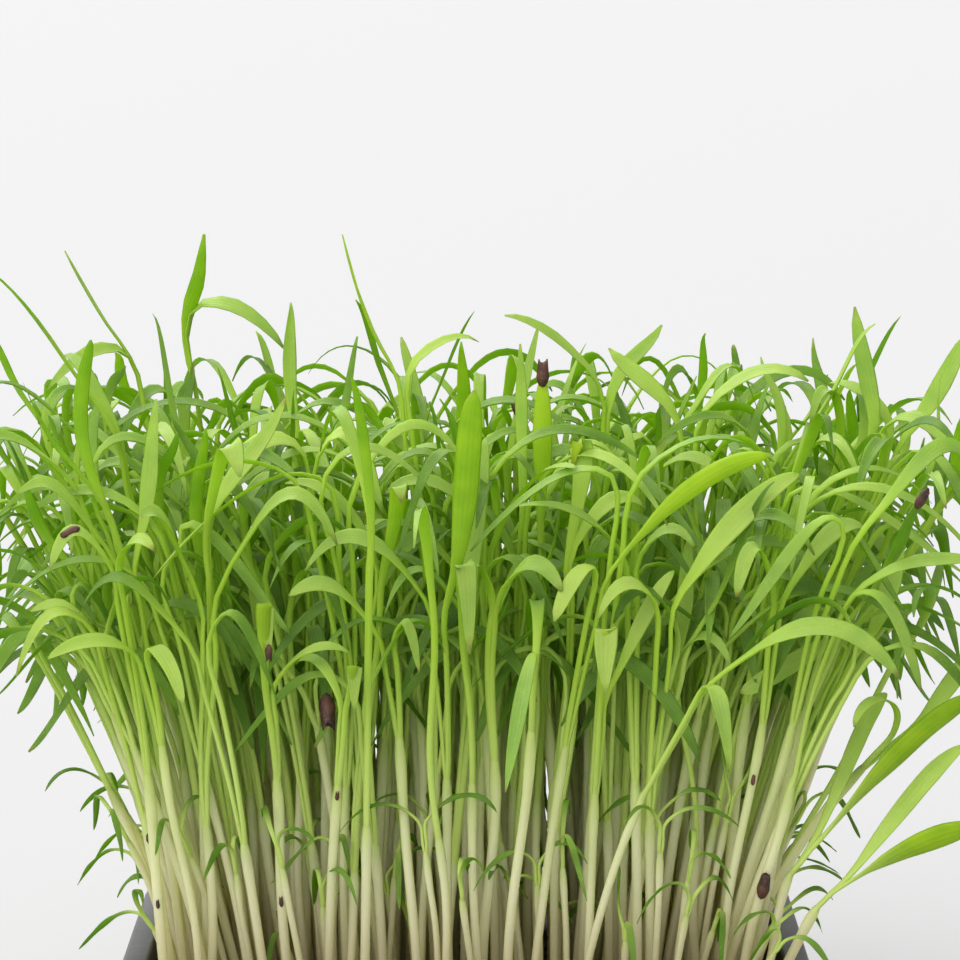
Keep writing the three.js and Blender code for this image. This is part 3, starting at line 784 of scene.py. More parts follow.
def strands_of(plans, seed):
    draw = random_source(seed)
    strands = []
    for plan in plans:
        own = seedling_marks(plan, draw)
        plan["marks"] = own
        strands.append(stem_strand(plan, own, draw))
        strands += [blade_strand(plan, one, own, draw) for one in plan["leaves"]]
    return strands


# %% [markdown]
# ## The node tree that grows the strands
# Every strand is a tube with numbers of its own, so a small straight tube is placed on every point: one
# kind for stems, and a finer one for stalks with their blades. Each corner remembers how far along and
# around its tube it is. Once the copies are real mesh, one Set Position moves every corner to its place
# on the strand's own curve. Bending all the tubes like this is quicker than making them one by one, and
# all their sizes stay named.


# %% Vector arithmetic on the strands
def cubic(a, b, c, d, t):
    s = 1.0 - t
    return a * (s * s * s) + b * (s * s * t * 3.0) + c * (s * t * t * 3.0) + d * (t * t * t)


def cubic_heading(a, b, c, d, t):
    s = 1.0 - t
    return ((b - a) * (s * s) + (c - b) * (s * t * 2.0) + (d - c) * (t * t)).unit()


def mixed(share, first, second):
    return first + (second - first) * share


def turned(vector, axis, angle):
    """A vector at right angles to the axis, turned about it."""
    return vector * angle.cos() + axis.cross(vector) * angle.sin()


# %% The tree
STEM_SIDES, STEM_STATIONS = 8, 14
BLADE_SIDES, BLADE_STATIONS = 10, 26
MORE_AT_ENDS = 0.04
KNEE_BLEND = 0.11
RIPPLES = 21
CUP_LEVEL = 0.35
TIP_LEFT = 0.012


def new_tree(name, sockets):
    tree = bpy.data.node_groups.new(name, "GeometryNodeTree")
    tree.interface.new_socket("Geometry", in_out="OUTPUT", socket_type="NodeSocketGeometry")
    tree.interface.new_socket("Geometry", in_out="INPUT", socket_type="NodeSocketGeometry")
    for socket_name, (kind, value) in sockets.items():
        socket = tree.interface.new_socket(socket_name, in_out="INPUT", socket_type=kind)
        if value is not None:
            socket.default_value = value
    entry = tree.nodes.new("NodeGroupInput")
    return tree, {socket.name: Wire(tree, socket) for socket in entry.outputs if socket.name}


def realized(tree, *parts):
    """The parts joined, with every instance in them made real mesh."""
    both = tree.nodes.new("GeometryNodeJoinGeometry")
    for part in parts:
        tree.links.new(part.socket, both.inputs[0])
    return Wire(tree).add("GeometryNodeRealizeInstances", {"Geometry": Wire(tree, both.outputs[0])})


def finished(tree, result):
    finish = tree.nodes.new("NodeGroupOutput")
    tree.links.new(result.socket, finish.inputs[0])
    return tree


def named(start, name, data_type):
    return start.add("GeometryNodeInputNamedAttribute", {"Name": name}, data_type=data_type)


def tube(start, points, sides, stations, chosen):
    """Unit tubes on the chosen points, whose corners remember where on the tube they are."""
    sizes = {"Vertices": sides, "Side Segments": stations, "Depth": 1.0}
    mesh = start.add("GeometryNodeMeshCylinder", sizes)
    spot = start.add("GeometryNodeInputPosition")
    stored = start.add(
        "GeometryNodeStoreNamedAttribute",
        {"Geometry": mesh, "Name": "spot", "Value": spot},
        data_type="FLOAT_VECTOR",
    )
    inputs = {"Points": points, "Selection": chosen, "Instance": stored}
    return start.add("GeometryNodeInstanceOnPoints", inputs)


def grow_tree():
    sockets = {
        "Stem sides": ("NodeSocketInt", STEM_SIDES),
        "Stem stations": ("NodeSocketInt", STEM_STATIONS),
        "Blade sides": ("NodeSocketInt", BLADE_SIDES),
        "Blade stations": ("NodeSocketInt", BLADE_STATIONS),
        "Stem material": ("NodeSocketMaterial", None),
        "Leaf material": ("NodeSocketMaterial", None),
    }
    tree, entry = new_tree("grow strands", sockets)
    start = Wire(tree)
    own = {name: named(start, name, "FLOAT_VECTOR") for name in VECTORS}
    own |= {name: named(start, name, "FLOAT") for name in NUMBERS}
    is_blade = start.calc("GREATER_THAN", own["kind"], 0.5)
    is_stem = start.calc("LESS_THAN", own["kind"], 0.5)
    stems = tube(start, entry["Geometry"], entry["Stem sides"], entry["Stem stations"], is_stem)
    blades = tube(start, entry["Geometry"], entry["Blade sides"], entry["Blade stations"], is_blade)
    real = realized(tree, blades, stems)

    spot = named(start, "spot", "FLOAT_VECTOR")
    x, y, z = (spot.component(i) for i in range(3))
    even = z + 0.5
    t = even - (even * (2 * math.pi)).sin() * MORE_AT_ENDS
    on_stem = own["start"] + (own["stop"] - own["start"]) * (t / own["bend"])
    on_leaf = (t - own["bend"]) / (1.0 - own["bend"]).at_least(0.001)
    leaving = own["kind"] * t.smooth(own["bend"] - KNEE_BLEND, own["bend"] + KNEE_BLEND)
    stem_points = [own[name] for name in ("a0", "a1", "a2", "a3")]
    leaf_points = [own[name] for name in ("b0", "b1", "b2", "b3")]
    middle = mixed(leaving, cubic(*stem_points, on_stem), cubic(*leaf_points, on_leaf))
    stem_heading = cubic_heading(*stem_points, on_stem)
    leaf_heading = cubic_heading(*leaf_points, on_leaf)
    along = mixed(leaving, stem_heading, leaf_heading).unit()
    flat = (own["across_way"] - along * along.dot(own["across_way"])).unit()
    widening = t.smooth(own["widen_from"], own["widen_to"])
    side = turned(flat, along, own["twist"] * on_leaf.at_least(0.0) + own["show"] * widening)
    face = along.cross(side)
    past = (t - own["tip_from"]).at_least(0.0) / (1.0 - own["tip_from"])
    closing = ((1.0 - past * past) * (1.0 - past * own["point"])).at_least(TIP_LEFT).root()
    wide = mixed(widening, own["wide_low"], own["wide_high"]) * closing
    thick = mixed(widening, own["thick_low"], own["thick_high"]) * closing
    ripple = (t * RIPPLES + own["phase"]).sin() * own["wave"] * x * widening
    hollow = (x * x - CUP_LEVEL) * wide * own["cup"] * widening
    risen = t.smooth(0.0, own["bend"])
    apart = own["outward"] * mixed(risen, own["gap_low"] * t.smooth(0.0, 0.1), own["gap_high"])
    swing = (on_stem * own["sway_turns"] + own["sway_phase"]).sin() * on_stem * (1.0 - on_stem) * 4.0
    swayed = own["sway"] * (swing * (1.0 - leaving))
    place = middle + apart + swayed + side * (x * wide) + face * (y * thick + hollow + ripple)
    moved = start.add("GeometryNodeSetPosition", {"Geometry": real, "Position": place * MM})

    marked = moved
    for name, value in {"along": t, "sideways": x, "upper": y, "blade": own["kind"] * widening}.items():
        stored = {"Geometry": marked, "Name": name, "Value": value}
        marked = start.add("GeometryNodeStoreNamedAttribute", stored)
    smooth = start.add("GeometryNodeSetShadeSmooth", {"Geometry": marked})
    green = start.add("GeometryNodeSetMaterial", {"Geometry": smooth, "Material": entry["Leaf material"]})
    done = start.add(
        "GeometryNodeSetMaterial",
        {"Geometry": green, "Selection": is_stem, "Material": entry["Stem material"]},
    )
    return finished(tree, done)


GROW = grow_tree()
print("nodes in the tree", len(GROW.nodes))

# %% [markdown]
# ## Leaf and stem
# A seed leaf is thin, so most of what the eye sees in a backlit one has come through it. A share of
# Translucent does that, mixed with an ordinary glossy surface. Colour varies from leaf to leaf, and over
# that painted shade darkens the low and late leaves and painted light brightens those that stand out. It
# fades towards the stalk, follows faint parallel veins, and has a pale bloom with fine grains on its upper
# face, partly a painted highlight that is stronger on the brighter leaves. The marks are attributes of the
# mesh, so that they follow each leaf however it bends.


# %% Helpers for materials
def new_material(name):
    material = bpy.data.materials.new(name)
    material.use_nodes = True
    material.node_tree.nodes.clear()
    return material, Wire(material.node_tree)


def surface(material, shader):
    output = material.node_tree.nodes.new("ShaderNodeOutputMaterial")
    material.node_tree.links.new(shader.socket, output.inputs["Surface"])


def marked_by(start, name):
    return start.add("ShaderNodeAttribute", output=2, attribute_name=name)


def grain(start, size, detail=2.0, roughness=0.5):
    """Noise with features of about the given size in millimetres."""
    spot = start.add("ShaderNodeTexCoord", output=3)
    inputs = {"Vector": spot, "Scale": 1 / (size * MM), "Detail": detail, "Roughness": roughness}
    return start.add("ShaderNodeTexNoise", inputs)


def object_height(start):
    """Height above the foot of the tray, in millimetres."""
    return start.add("ShaderNodeTexCoord", output=3).component(2) * (1 / MM)


def rough_surface(start, colour, roughness, normal=None, **fixed):
    inputs = {"Base Color": colour, "Roughness": roughness, **fixed}
    if normal is not None:
        inputs["Normal"] = normal
    return start.add("ShaderNodeBsdfPrincipled", inputs)


def bumped(start, height, strength, distance):
    inputs = {"Height": height, "Strength": strength, "Distance": distance * MM}
    return start.add("ShaderNodeBump", inputs)


def lit_through(start, front, colour, share):
    """Part of the light comes through from the other side."""
    back = start.add("ShaderNodeBsdfTranslucent", {"Color": (*colour, 1)})
    return start.add("ShaderNodeMixShader", {0: share, 1: front, 2: back})


# %% Leaf
LEAF_DARK = (0.022, 0.09, 0.002, 1)
LEAF_MID = (0.12, 0.28, 0.004, 1)
LEAF_BRIGHT = (0.42, 0.57, 0.02, 1)
LEAF_BLOOM_AND_SHEEN = (0.6, 0.73, 0.24, 1)
LEAF_TIP = (0.3, 0.2, 0.06, 1)
STALK_PALE = (0.72, 0.81, 0.24, 1)
STALK_GREEN = (0.45, 0.62, 0.06, 1)
LEAF_LIGHT_THROUGH = (0.5, 0.78, 0.05)
STALK_GREENING = (42.0, 68.0)
VEINS = 15


def leaf_material():
    material, start = new_material("seed leaf")
    tone_and_shade = marked_by(start, "tone_and_shade")
    sideways = marked_by(start, "sideways")
    upper = marked_by(start, "upper")
    blade = marked_by(start, "blade")
    along = marked_by(start, "along")
    height = object_height(start)
    fine = grain(start, 0.16, 2.0, 0.6)
    blotch = grain(start, 3.0, 3.0)
    veins = ((sideways * VEINS).sin() * 0.5 + 0.5) * (1.0 - sideways * sideways * 0.6)
    # Random tone and blotches, with painted shade on low and late leaves and painted light on those that
    # stand out, choose dark, mid or bright green.
    shade = tone_and_shade * 0.8 + blotch * 0.5 - 0.15
    lower_half = shade.smooth(0.0, 0.5).blend(LEAF_DARK, LEAF_MID)
    body = shade.smooth(0.4, 0.95).blend(lower_half, LEAF_BRIGHT)
    veined = (veins * 0.14).blend(body, STALK_GREEN)
    # The upper face is paler: fine grains of real bloom, plus a painted highlight over the whole upper face
    # that is stronger on the brighter leaves.
    grains = fine.smooth(0.5, 0.75) * upper.smooth(-0.2, 0.4) * blotch.smooth(0.35, 0.6)
    bloom_and_sheen = grains * 0.4 + upper.smooth(-0.2, 0.4) * (tone_and_shade * 0.45 + 0.05)
    bloomed_and_sheened = bloom_and_sheen.blend(veined, LEAF_BLOOM_AND_SHEEN)
    stalk = (height + (tone_and_shade - 0.5) * 12.0).smooth(*STALK_GREENING).blend(STALK_PALE, STALK_GREEN)
    dried = along.smooth(0.955, 1.0) * blotch.smooth(0.5, 0.62) * 0.8
    colour = dried.blend(blade.blend(stalk, bloomed_and_sheened), LEAF_TIP)
    roughness = 0.42 + fine * 0.16
    normal = bumped(start, veins * 0.6 + fine * 0.5, 0.35, 0.12)
    front = rough_surface(start, colour, roughness, normal, **{"Specular IOR Level": 0.26})
    surface(material, lit_through(start, front, LEAF_LIGHT_THROUGH, 0.42))
    return material


LEAF = leaf_material()

# %% [markdown]
# The stem is white where it comes out of the soil, because no light reached it there, and turns green
# towards the knot. Next to the soil that white is painted darker, a beige that stands for the shade
# between the crowded stems. Its finish reads the height in the tray, so every stem changes at about the
# same level, with noise to keep the change from being a line.

# %% Stem
STEM_FOOT_SHADE = (0.6, 0.5, 0.34, 1)
STEM_WHITE = (0.88, 0.86, 0.62, 1)
STEM_PALE = (0.7, 0.78, 0.35, 1)
STEM_EARTHY = (0.36, 0.27, 0.16, 1)
STEM_KNOT = (0.42, 0.33, 0.1, 1)
STEM_LIGHT_THROUGH = (0.84, 0.86, 0.42)
EARTHY_TO_CLEAN = (20.0, 26.0)
FOOT_SHADE_TO_WHITE = (22.0, 38.0)
WHITE_TO_PALE = (34.0, 52.0)


def stem_material():
    material, start = new_material("stem")
    height = object_height(start)
    tone_and_shade = marked_by(start, "tone_and_shade")
    along = marked_by(start, "along")
    patch = grain(start, 5.0, 2.0)
    streak = grain(start, 0.5, 3.0)
    level = height + (patch - 0.5) * 10.0 + (tone_and_shade - 0.5) * 10.0
    # Painted shade: low down, next to the soil, the white is darkened to beige for the shade between the
    # crowded stems.
    white_over_foot_shade = height.smooth(*FOOT_SHADE_TO_WHITE).blend(STEM_FOOT_SHADE, STEM_WHITE)
    pale = (level.smooth(*WHITE_TO_PALE) * 0.85).blend(white_over_foot_shade, STEM_PALE)
    green = (along.smooth(0.8, 0.97) * 0.55).blend(pale, STALK_GREEN)
    knot = (along.smooth(0.93, 0.98) * patch.smooth(0.42, 0.6) * 0.35).blend(green, STEM_KNOT)
    soiled = (1.0 - height.smooth(*EARTHY_TO_CLEAN)) * streak.smooth(0.35, 0.6) * 0.8
    earthy = soiled.blend(knot, STEM_EARTHY)
    normal = bumped(start, streak, 0.2, 0.08)
    front = rough_surface(start, earthy, 0.36 + streak * 0.14, normal, **{"Specular IOR Level": 0.45})
    surface(material, lit_through(start, front, STEM_LIGHT_THROUGH, 0.44))
    return material


STEM = stem_material()
print("materials", [material.name for material in bpy.data.materials])

# %% [markdown]
# ## Grow the stand
# One fine piece takes the place of each plain tuft, and the seedlings between make a piece for each row
# of the bed. The points go in as a mesh of loose corners with attributes, the tree runs on them as a
# modifier, and its result is kept as a plain mesh.


# %% From strands to a mesh
KEPT_MARKS = {"along", "sideways", "upper", "blade", "tone_and_shade"}


def points_mesh(name, strands):
    mesh = bpy.data.meshes.new(name)
    mesh.from_pydata([strand["a0"] * MM for strand in strands], [], [])
    for mark in VECTORS:
        values = [value for strand in strands for value in strand[mark]]
        mesh.attributes.new(mark, "FLOAT_VECTOR", "POINT").data.foreach_set("vector", values)
    for mark in NUMBERS:
        values = [strand[mark] for strand in strands]
        mesh.attributes.new(mark, "FLOAT", "POINT").data.foreach_set("value", values)
    return mesh


def link_piece(name, mesh):
    piece = bpy.data.objects.new(name, mesh)
    bpy.context.scene.collection.objects.link(piece)
    return piece


def settled(name, carrier, *helpers):
    """The plain mesh that an object's modifiers make. The object and its helpers are then taken away."""
    shown = carrier.evaluated_get(bpy.context.evaluated_depsgraph_get())
    result = bpy.data.meshes.new_from_object(shown)
    result.name = name
    for used in (carrier, *helpers):
        bpy.data.objects.remove(used)
    return result


def run_tree(name, mesh, tree, values):
    """The plain mesh that a tree makes of a mesh."""
    carrier = link_piece(name + "_carrier", mesh)
    modifier = carrier.modifiers.new("grow", "NODES")
    modifier.node_group = tree
    for item in tree.interface.items_tree:
        if item.item_type == "SOCKET" and item.in_out == "INPUT" and item.name in values:
            modifier[item.identifier] = values[item.name]
    return settled(name, carrier)


def opened(piece, material):
    """A piece's mesh as a form to add to, and the index in it of one more material."""
    piece.data.materials.append(material)
    form = bmesh.new()
    form.from_mesh(piece.data)
    return form, len(piece.data.materials) - 1


def closed(form, mesh):
    """Writes a form into a mesh."""
    form.to_mesh(mesh)
    form.free()
    return mesh


def triangles_of(mesh):
    return sum(len(polygon.vertices) - 2 for polygon in mesh.polygons)


def grown(name, plans, seed):
    mesh = points_mesh(name, strands_of(plans, seed))
    result = run_tree(name, mesh, GROW, {"Stem material": STEM, "Leaf material": LEAF})
    for mark in [*VECTORS, *NUMBERS, "spot"]:
        if mark in result.attributes and mark not in KEPT_MARKS:
            result.attributes.remove(result.attributes[mark])
    return link_piece(name, result)


# %% [markdown]
# ## Seed coats and root plugs
# Some leaves still carry the empty coat of their seed: a ribbed brown teardrop that has split at one end
# into two beaks. It is small and there are few, so each is turned from a short profile with ribs round
# it. The plug under a tuft is a clump of matted white roots in the soil, made the same way.

# %% Turned forms
HUSK_HALF_LONG = 1.75
HUSK_ROUND = 0.78
MOUTH_FLOOR = 0.55
HUSK_RINGS = 12
HUSK_SIDES = 16
HUSK_RIBS = 8
RIB_PROUD = 0.13
RIB_TURN = 1.7
BEAK_FROM = 0.6
BEAK_LONG = 1.1
PLUG_COVERED = 0.85
PLUG_RINGS = 8
PLUG_SIDES = 18


def turned_form(form, rings, sides, place, material_index):
    """Closed form through rings of points, with a pole at each end."""
    levels = [[form.verts.new(place(ring, side)) for side in range(sides)] for ring in range(1, rings)]
    low = form.verts.new(place(0, 0))
    high = form.verts.new(place(rings, 0))
    faces = []
    for side in range(sides):
        after = (side + 1) % sides
        faces.append(form.faces.new((low, levels[0][after], levels[0][side])))
        faces.append(form.faces.new((high, levels[-1][side], levels[-1][after])))
        for lower, upper in zip(levels, levels[1:]):
            faces.append(form.faces.new((lower[side], lower[after], upper[after], upper[side])))
    for face in faces:
        face.material_index = material_index
        face.smooth = True


def add_husk(form, at, direction, size, seed, material_index):
    turn = direction.to_track_quat("Z", "Y")

    def place(ring, side):
        at_pole = ring in (0, HUSK_RINGS)
        share = MOUTH_FLOOR if ring == HUSK_RINGS else ring / HUSK_RINGS
        around = 2 * math.pi * side / HUSK_SIDES
        profile = 0 if at_pole else math.sqrt(min(1, 2.4 * share)) * (1.2 - 0.55 * share)
        rib = 1 + RIB_PROUD * math.cos(HUSK_RIBS * around + seed)
        beak = 0 if at_pole else BEAK_LONG * max(0, share - BEAK_FROM) * math.cos(around) ** 2
        radius = HUSK_ROUND * profile * rib * size
        height = (share * 2 - 1 + beak) * HUSK_HALF_LONG * size
        local = Vector((radius * math.cos(around), radius * math.sin(around), height))
        return (at + turn @ local) * MM

    turned_form(form, HUSK_RINGS, HUSK_SIDES, place, material_index)


def add_plug(form, middle, material_index):
    def place(ring, side):
        share = ring / PLUG_RINGS
        around = 2 * math.pi * side / PLUG_SIDES
        profile = min(1, 3.2 * math.sin(math.pi * share) ** 0.8)
        spot = Vector((math.cos(around), math.sin(around), share * 3 + middle.x))
        radius = (PLUG_RADIUS - 0.5 - 0.8 * (1 - share)) * profile * (1 + 0.12 * noise.noise(spot * 2.1))
        height = SOIL_TOP - PLUG_COVERED - PLUG_DEEP * (1 - share)
        offset = Vector((radius * math.cos(around), radius * math.sin(around), 0))
        return (Vector((middle.x, middle.y, height)) + offset) * MM

    turned_form(form, PLUG_RINGS, PLUG_SIDES, place, material_index)


# %% Finish of seed coats and roots
HUSK_DARK = (0.035, 0.014, 0.008, 1)
HUSK_WARM = (0.1, 0.035, 0.018, 1)
HUSK_STREAK = (0.26, 0.13, 0.07, 1)
ROOT_STAINED = (0.3, 0.22, 0.14, 1)
ROOT_PALE = (0.72, 0.66, 0.52, 1)
ROOT_SOIL = (0.05, 0.03, 0.018, 1)


def husk_material():
    material, start = new_material("seed coat")
    streak = grain(start, 0.35, 4.0, 0.65)
    patch = grain(start, 1.3, 2.0)
    warm = patch.smooth(0.35, 0.65).blend(HUSK_DARK, HUSK_WARM)
    colour = (streak.smooth(0.52, 0.7) * 0.5).blend(warm, HUSK_STREAK)
    normal = bumped(start, streak, 0.6, 0.1)
    surface(material, rough_surface(start, colour, 0.5 + streak * 0.25, normal))
    return material


def root_material():
    material, start = new_material("matted roots")
    strands = grain(start, 0.4, 5.0, 0.7)
    soil_in = grain(start, 1.6, 3.0)
    pale = strands.smooth(0.4, 0.62).blend(ROOT_STAINED, ROOT_PALE)
    colour = (soil_in.smooth(0.5, 0.62) * 0.85).blend(pale, ROOT_SOIL)
    normal = bumped(start, strands, 0.8, 0.25)
    surface(material, rough_surface(start, colour, 0.75 + strands * 0.15, normal))
    return material


HUSK = husk_material()
ROOTS = root_material()


# %% [markdown]
# Some seed coats belong to a seedling that stands out, and its leaf says so. The others are put by place:
# on the leaf tip that ends nearest to it, or, as a scrap, on the front of the nearest stem.

# %% Where seed coats sit
HUSK_AT_TIP = 0.96
SPECK_SIZE = 0.3
FRONT_STEMS_Y = -27
SPECK_STEPS = 20
HUSK_PLACES = [
    (48.5, -20, 75, 0.7),
    (-15, -26, 54, 1.1),
    (16.7, -24, 60.9, 0.5),
    (3.8, 14, 84, 0.65),
]
SPECK_PLACES = [
    (-36.2, 40.4, 0.34),
    (-35.4, 33, 0.3),
    (-20.6, 33, 0.34),
    (-14, 46, 0.3),
    (28, 47, 0.34),
    (36, 35.7, 0.85),
]


def leaf_spot(plan, one, t):
    """A point of a fine leaf and the way the leaf runs there."""
    curve = leaf_curve(plan, one)
    apart = outward_of(plan, one) * plan["marks"]["gap_high"]
    return point_on(curve, t) + apart, heading_on(curve, t)


def place_husks(plans):
    """Puts a seed coat on the tip of the leaf that ends nearest to each place."""
    for x, y, z, size in HUSK_PLACES:
        def miss(one):
            tip = one["tip"]
            return abs(tip.x - x) + abs(tip.z - z) + 0.4 * abs(tip.y - y)

        best = min((one for plan in plans for one in plan["leaves"] if one["husk"] == 0), key=miss)
        best["husk"] = HUSK_AT_TIP
        best["husk_size"] = size


def place_specks(plans):
    """Sticks a scrap of seed coat to the front of the stem that passes nearest to each place."""
    for x, z, size in SPECK_PLACES:
        def miss(pair):
            spot = point_on(stem_curve(pair[0]), pair[1])
            return abs(spot.x - x) + abs(spot.z - z) + 0.5 * max(0, spot.y - FRONT_STEMS_Y)

        grown_up = [plan for plan in plans if not plan["late"]]
        choices = [(plan, step / SPECK_STEPS) for plan in grown_up for step in range(2, 15)]
        plan, t = min(choices, key=miss)
        plan["specks"].append((t, size))


def stem_spot(plan, t):
    """A point on the axis of a fine stem, which sways about its curve."""
    marks = plan["marks"]
    swing = math.sin(t * marks["sway_turns"] + marks["sway_phase"]) * t * (1 - t) * 4
    return point_on(stem_curve(plan), t) + marks["sway"] * swing


def husk_spots(plan):
    """Place, direction and size of each seed coat on a seedling."""
    coated = [one for one in plan["leaves"] if one["husk"] > 0]
    spots = [(*leaf_spot(plan, one, one["husk"]), one["husk_size"]) for one in coated]
    for t, size in plan["specks"]:
        proud = STEM_RADIUS + 0.6 * HUSK_ROUND * (size - SPECK_SIZE)
        spots.append((stem_spot(plan, t) - Vector((0, proud, 0)), heading_on(stem_curve(plan), t), size))
    return spots


def add_husks(piece, plans):
    form, index = opened(piece, HUSK)
    spots = [spot for plan in plans for spot in husk_spots(plan)]
    for number, (at, direction, size) in enumerate(spots):
        add_husk(form, at, direction, size, number * RIB_TURN, index)
    closed(form, piece.data)
    return len(spots)


# %% Fine tufts
TUFT_FIRST_SEED = 700

place_specks(kept)
for tuft, node in enumerate(TUFT_NODES):
    plans = [plan for plan in kept if plan["tuft"] == tuft]
    piece = grown(f"fine_{node}", plans, TUFT_FIRST_SEED + tuft)
    husks = add_husks(piece, plans)
    form, index = opened(piece, ROOTS)
    add_plug(form, PLACES[tuft], index)
    closed(form, piece.data)
    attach(piece, "root")
    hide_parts(node)
    print(piece.name, "seedlings", len(plans), "husks", husks, "triangles", triangles_of(piece.data))

# %% Rows between
ROW_FIRST_SEED = 900


def row_of(plan):
    return min(range(TUFT_ROWS), key=lambda row: abs(row * ROW_PITCH - BED_Y - plan["root"].y))


place_husks(between)
for row in range(TUFT_ROWS):
    plans = [plan for plan in between if row_of(plan) == row]
    piece = grown(f"seedlings_between_row_{row + 1}", plans, ROW_FIRST_SEED + row)
    husks = add_husks(piece, plans)
    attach(piece, "root")
    print(piece.name, "seedlings", len(plans), "husks", husks, "triangles", triangles_of(piece.data))

# %% [markdown]
# ## Tray
# The tray is one sheet of thin black plastic drawn over a form, so every edge on it is a soft bend: the
# foot, the rim, and the lip that turns down and stiffens it. Its section is a line of levels, each with
# a height and a distance from the mouth's edge, and the wall is that line carried round a rectangle with
# round corners. The upright flutes push the outer face out by a smooth bump. Drain holes and the shallow
# channels under them are cut last with one Boolean.


# %% Tray wall
CORNER_STEPS = 12
SIDE_STEP = 0.8
FLUTE_PROUD = 1
FLUTE_FADE_OUT = 0.8
FLUTE_FADE_IN = 1
QUARTERS = [(1, 1), (-1, 1), (-1, -1), (1, -1)]


def inner_face(height):
    return -TAPER * (TRAY_HEIGHT - height) / TRAY_HEIGHT


def flute_share(along, reach):
    """1 on the crest of a flute and 0 between flutes, on a side as long as the core."""
    count = math.floor(reach / FLUTE_PITCH)
    nearest = max(-count, min(count, round(along / FLUTE_PITCH)))
    off = abs(along - nearest * FLUTE_PITCH) / FLUTE_RADIUS
    return (0.5 + 0.5 * math.cos(math.pi * off)) if off < 1 else 0


def outline_stations():
    """Points round the mouth: a corner to grow from, the way out of it, and the flute's share there."""
    core_x = TRAY_LENGTH / 2 - RIM_REACH - MOUTH_CORNER
    core_y = TRAY_WIDTH / 2 - RIM_REACH - MOUTH_CORNER
    stations = []
    for quarter, (sx, sy) in enumerate(QUARTERS):
        next_sx, next_sy = QUARTERS[(quarter + 1) % 4]
        corner = Vector((sx * core_x, sy * core_y))
        following = Vector((next_sx * core_x, next_sy * core_y))
        for step in range(CORNER_STEPS + 1):
            angle = (quarter + step / CORNER_STEPS) * math.pi / 2
            stations.append((corner, Vector((math.cos(angle), math.sin(angle))), 0))
        way = stations[-1][1]
        steps = round((following - corner).length / SIDE_STEP)
        for step in range(1, steps):
            spot = corner.lerp(following, step / steps)
            along, reach = (spot.x, core_x) if abs(way.y) > 0.5 else (spot.y, core_y)
            stations.append((spot, way, flute_share(along, reach)))
    return stations


def rounded_levels(levels, radius=0.45, steps=3):
    """The same line of levels with each inner bend drawn round."""
    points = [Vector(level) for level in levels]
    made = [points[0]]
    for before, bend, after in zip(points, points[1:], points[2:]):
        reach = min(radius, (bend - before).length / 2, (after - bend).length / 2)
        start = bend + (before - bend).normalized() * reach
        end = bend + (after - bend).normalized() * reach
        for step in range(steps + 1):
            t = step / steps
            made.append(start.lerp(bend, t).lerp(bend.lerp(end, t), t))
    return [*made, points[-1]]


def wall_steps(low, high, thick, count):
    heights = [low + (high - low) * i / count for i in range(1, count)]
    return [(height, inner_face(height) + thick) for height in heights]


def tray_levels():
    under_rim = TRAY_HEIGHT - RIM_THICK
    lip_inside = RIM_REACH - RIM_THICK
    lip_low = TRAY_HEIGHT - LIP_DROP
    return [
        (0, inner_face(0) + WALL - FOOT_CHAMFER - 1),
        (0, inner_face(0) + WALL - FOOT_CHAMFER),
        (FOOT_CHAMFER, inner_face(FOOT_CHAMFER) + WALL),
        *wall_steps(FOOT_CHAMFER, under_rim, WALL, 12),
        (under_rim, inner_face(under_rim) + WALL),
        (under_rim, lip_inside),
        (lip_low, lip_inside),
        (lip_low, RIM_REACH),
        (TRAY_HEIGHT, RIM_REACH),
        (TRAY_HEIGHT, 0),
        *reversed(wall_steps(FLOOR + FOOT_CHAMFER, TRAY_HEIGHT, 0, 4)),
        (FLOOR + FOOT_CHAMFER, inner_face(FLOOR + FOOT_CHAMFER)),
        (FLOOR, inner_face(FLOOR) - FOOT_CHAMFER),
        (FLOOR, inner_face(FLOOR) - FOOT_CHAMFER - 1),
    ]


def smoothly(value, low, high):
    share = max(0, min(1, (value - low) / (high - low)))
    return share * share * (3 - 2 * share)


def flute_height(height):
    """How far a crest stands out of the wall: not at all below and above the flutes, with soft ends."""
    starts = smoothly(height, FLUTE_LOW - FLUTE_FADE_OUT, FLUTE_LOW + FLUTE_FADE_IN)
    ends = smoothly(height, FLUTE_HIGH - FLUTE_FADE_IN, FLUTE_HIGH + FLUTE_FADE_OUT)
    return FLUTE_PROUD * starts * (1 - ends)


def skin(form, rings):
    """Faces from each ring of corners to the next, and a cap on the first and the last."""
    for lower, upper in zip(rings, rings[1:]):
        for i in range(len(lower)):
            j = (i + 1) % len(lower)
            form.faces.new((lower[i], lower[j], upper[j], upper[i]))
    form.faces.new(list(reversed(rings[0])))
    form.faces.new(rings[-1])


def tray_mesh():
    levels = rounded_levels(tray_levels())
    outermost = max(range(len(levels)), key=lambda i: levels[i][1])
    stations = outline_stations()
    form = bmesh.new()
    rings = []
    for index, (height, out) in enumerate(levels):
        on_outer_wall = index <= outermost and height <= TRAY_HEIGHT - LIP_DROP
        proud = flute_height(height) if on_outer_wall else 0
        flats = [corner + way * (MOUTH_CORNER + out + proud * flute) for corner, way, flute in stations]
        rings.append([form.verts.new((flat.x * MM, flat.y * MM, height * MM)) for flat in flats])
    skin(form, rings)
    for face in form.faces:
        face.smooth = len(face.verts) == 4
    return closed(form, bpy.data.meshes.new("tray_sheet"))


# %% Cut the drains
DRAIN_SIDES = 28
DRILL_LONG = 8


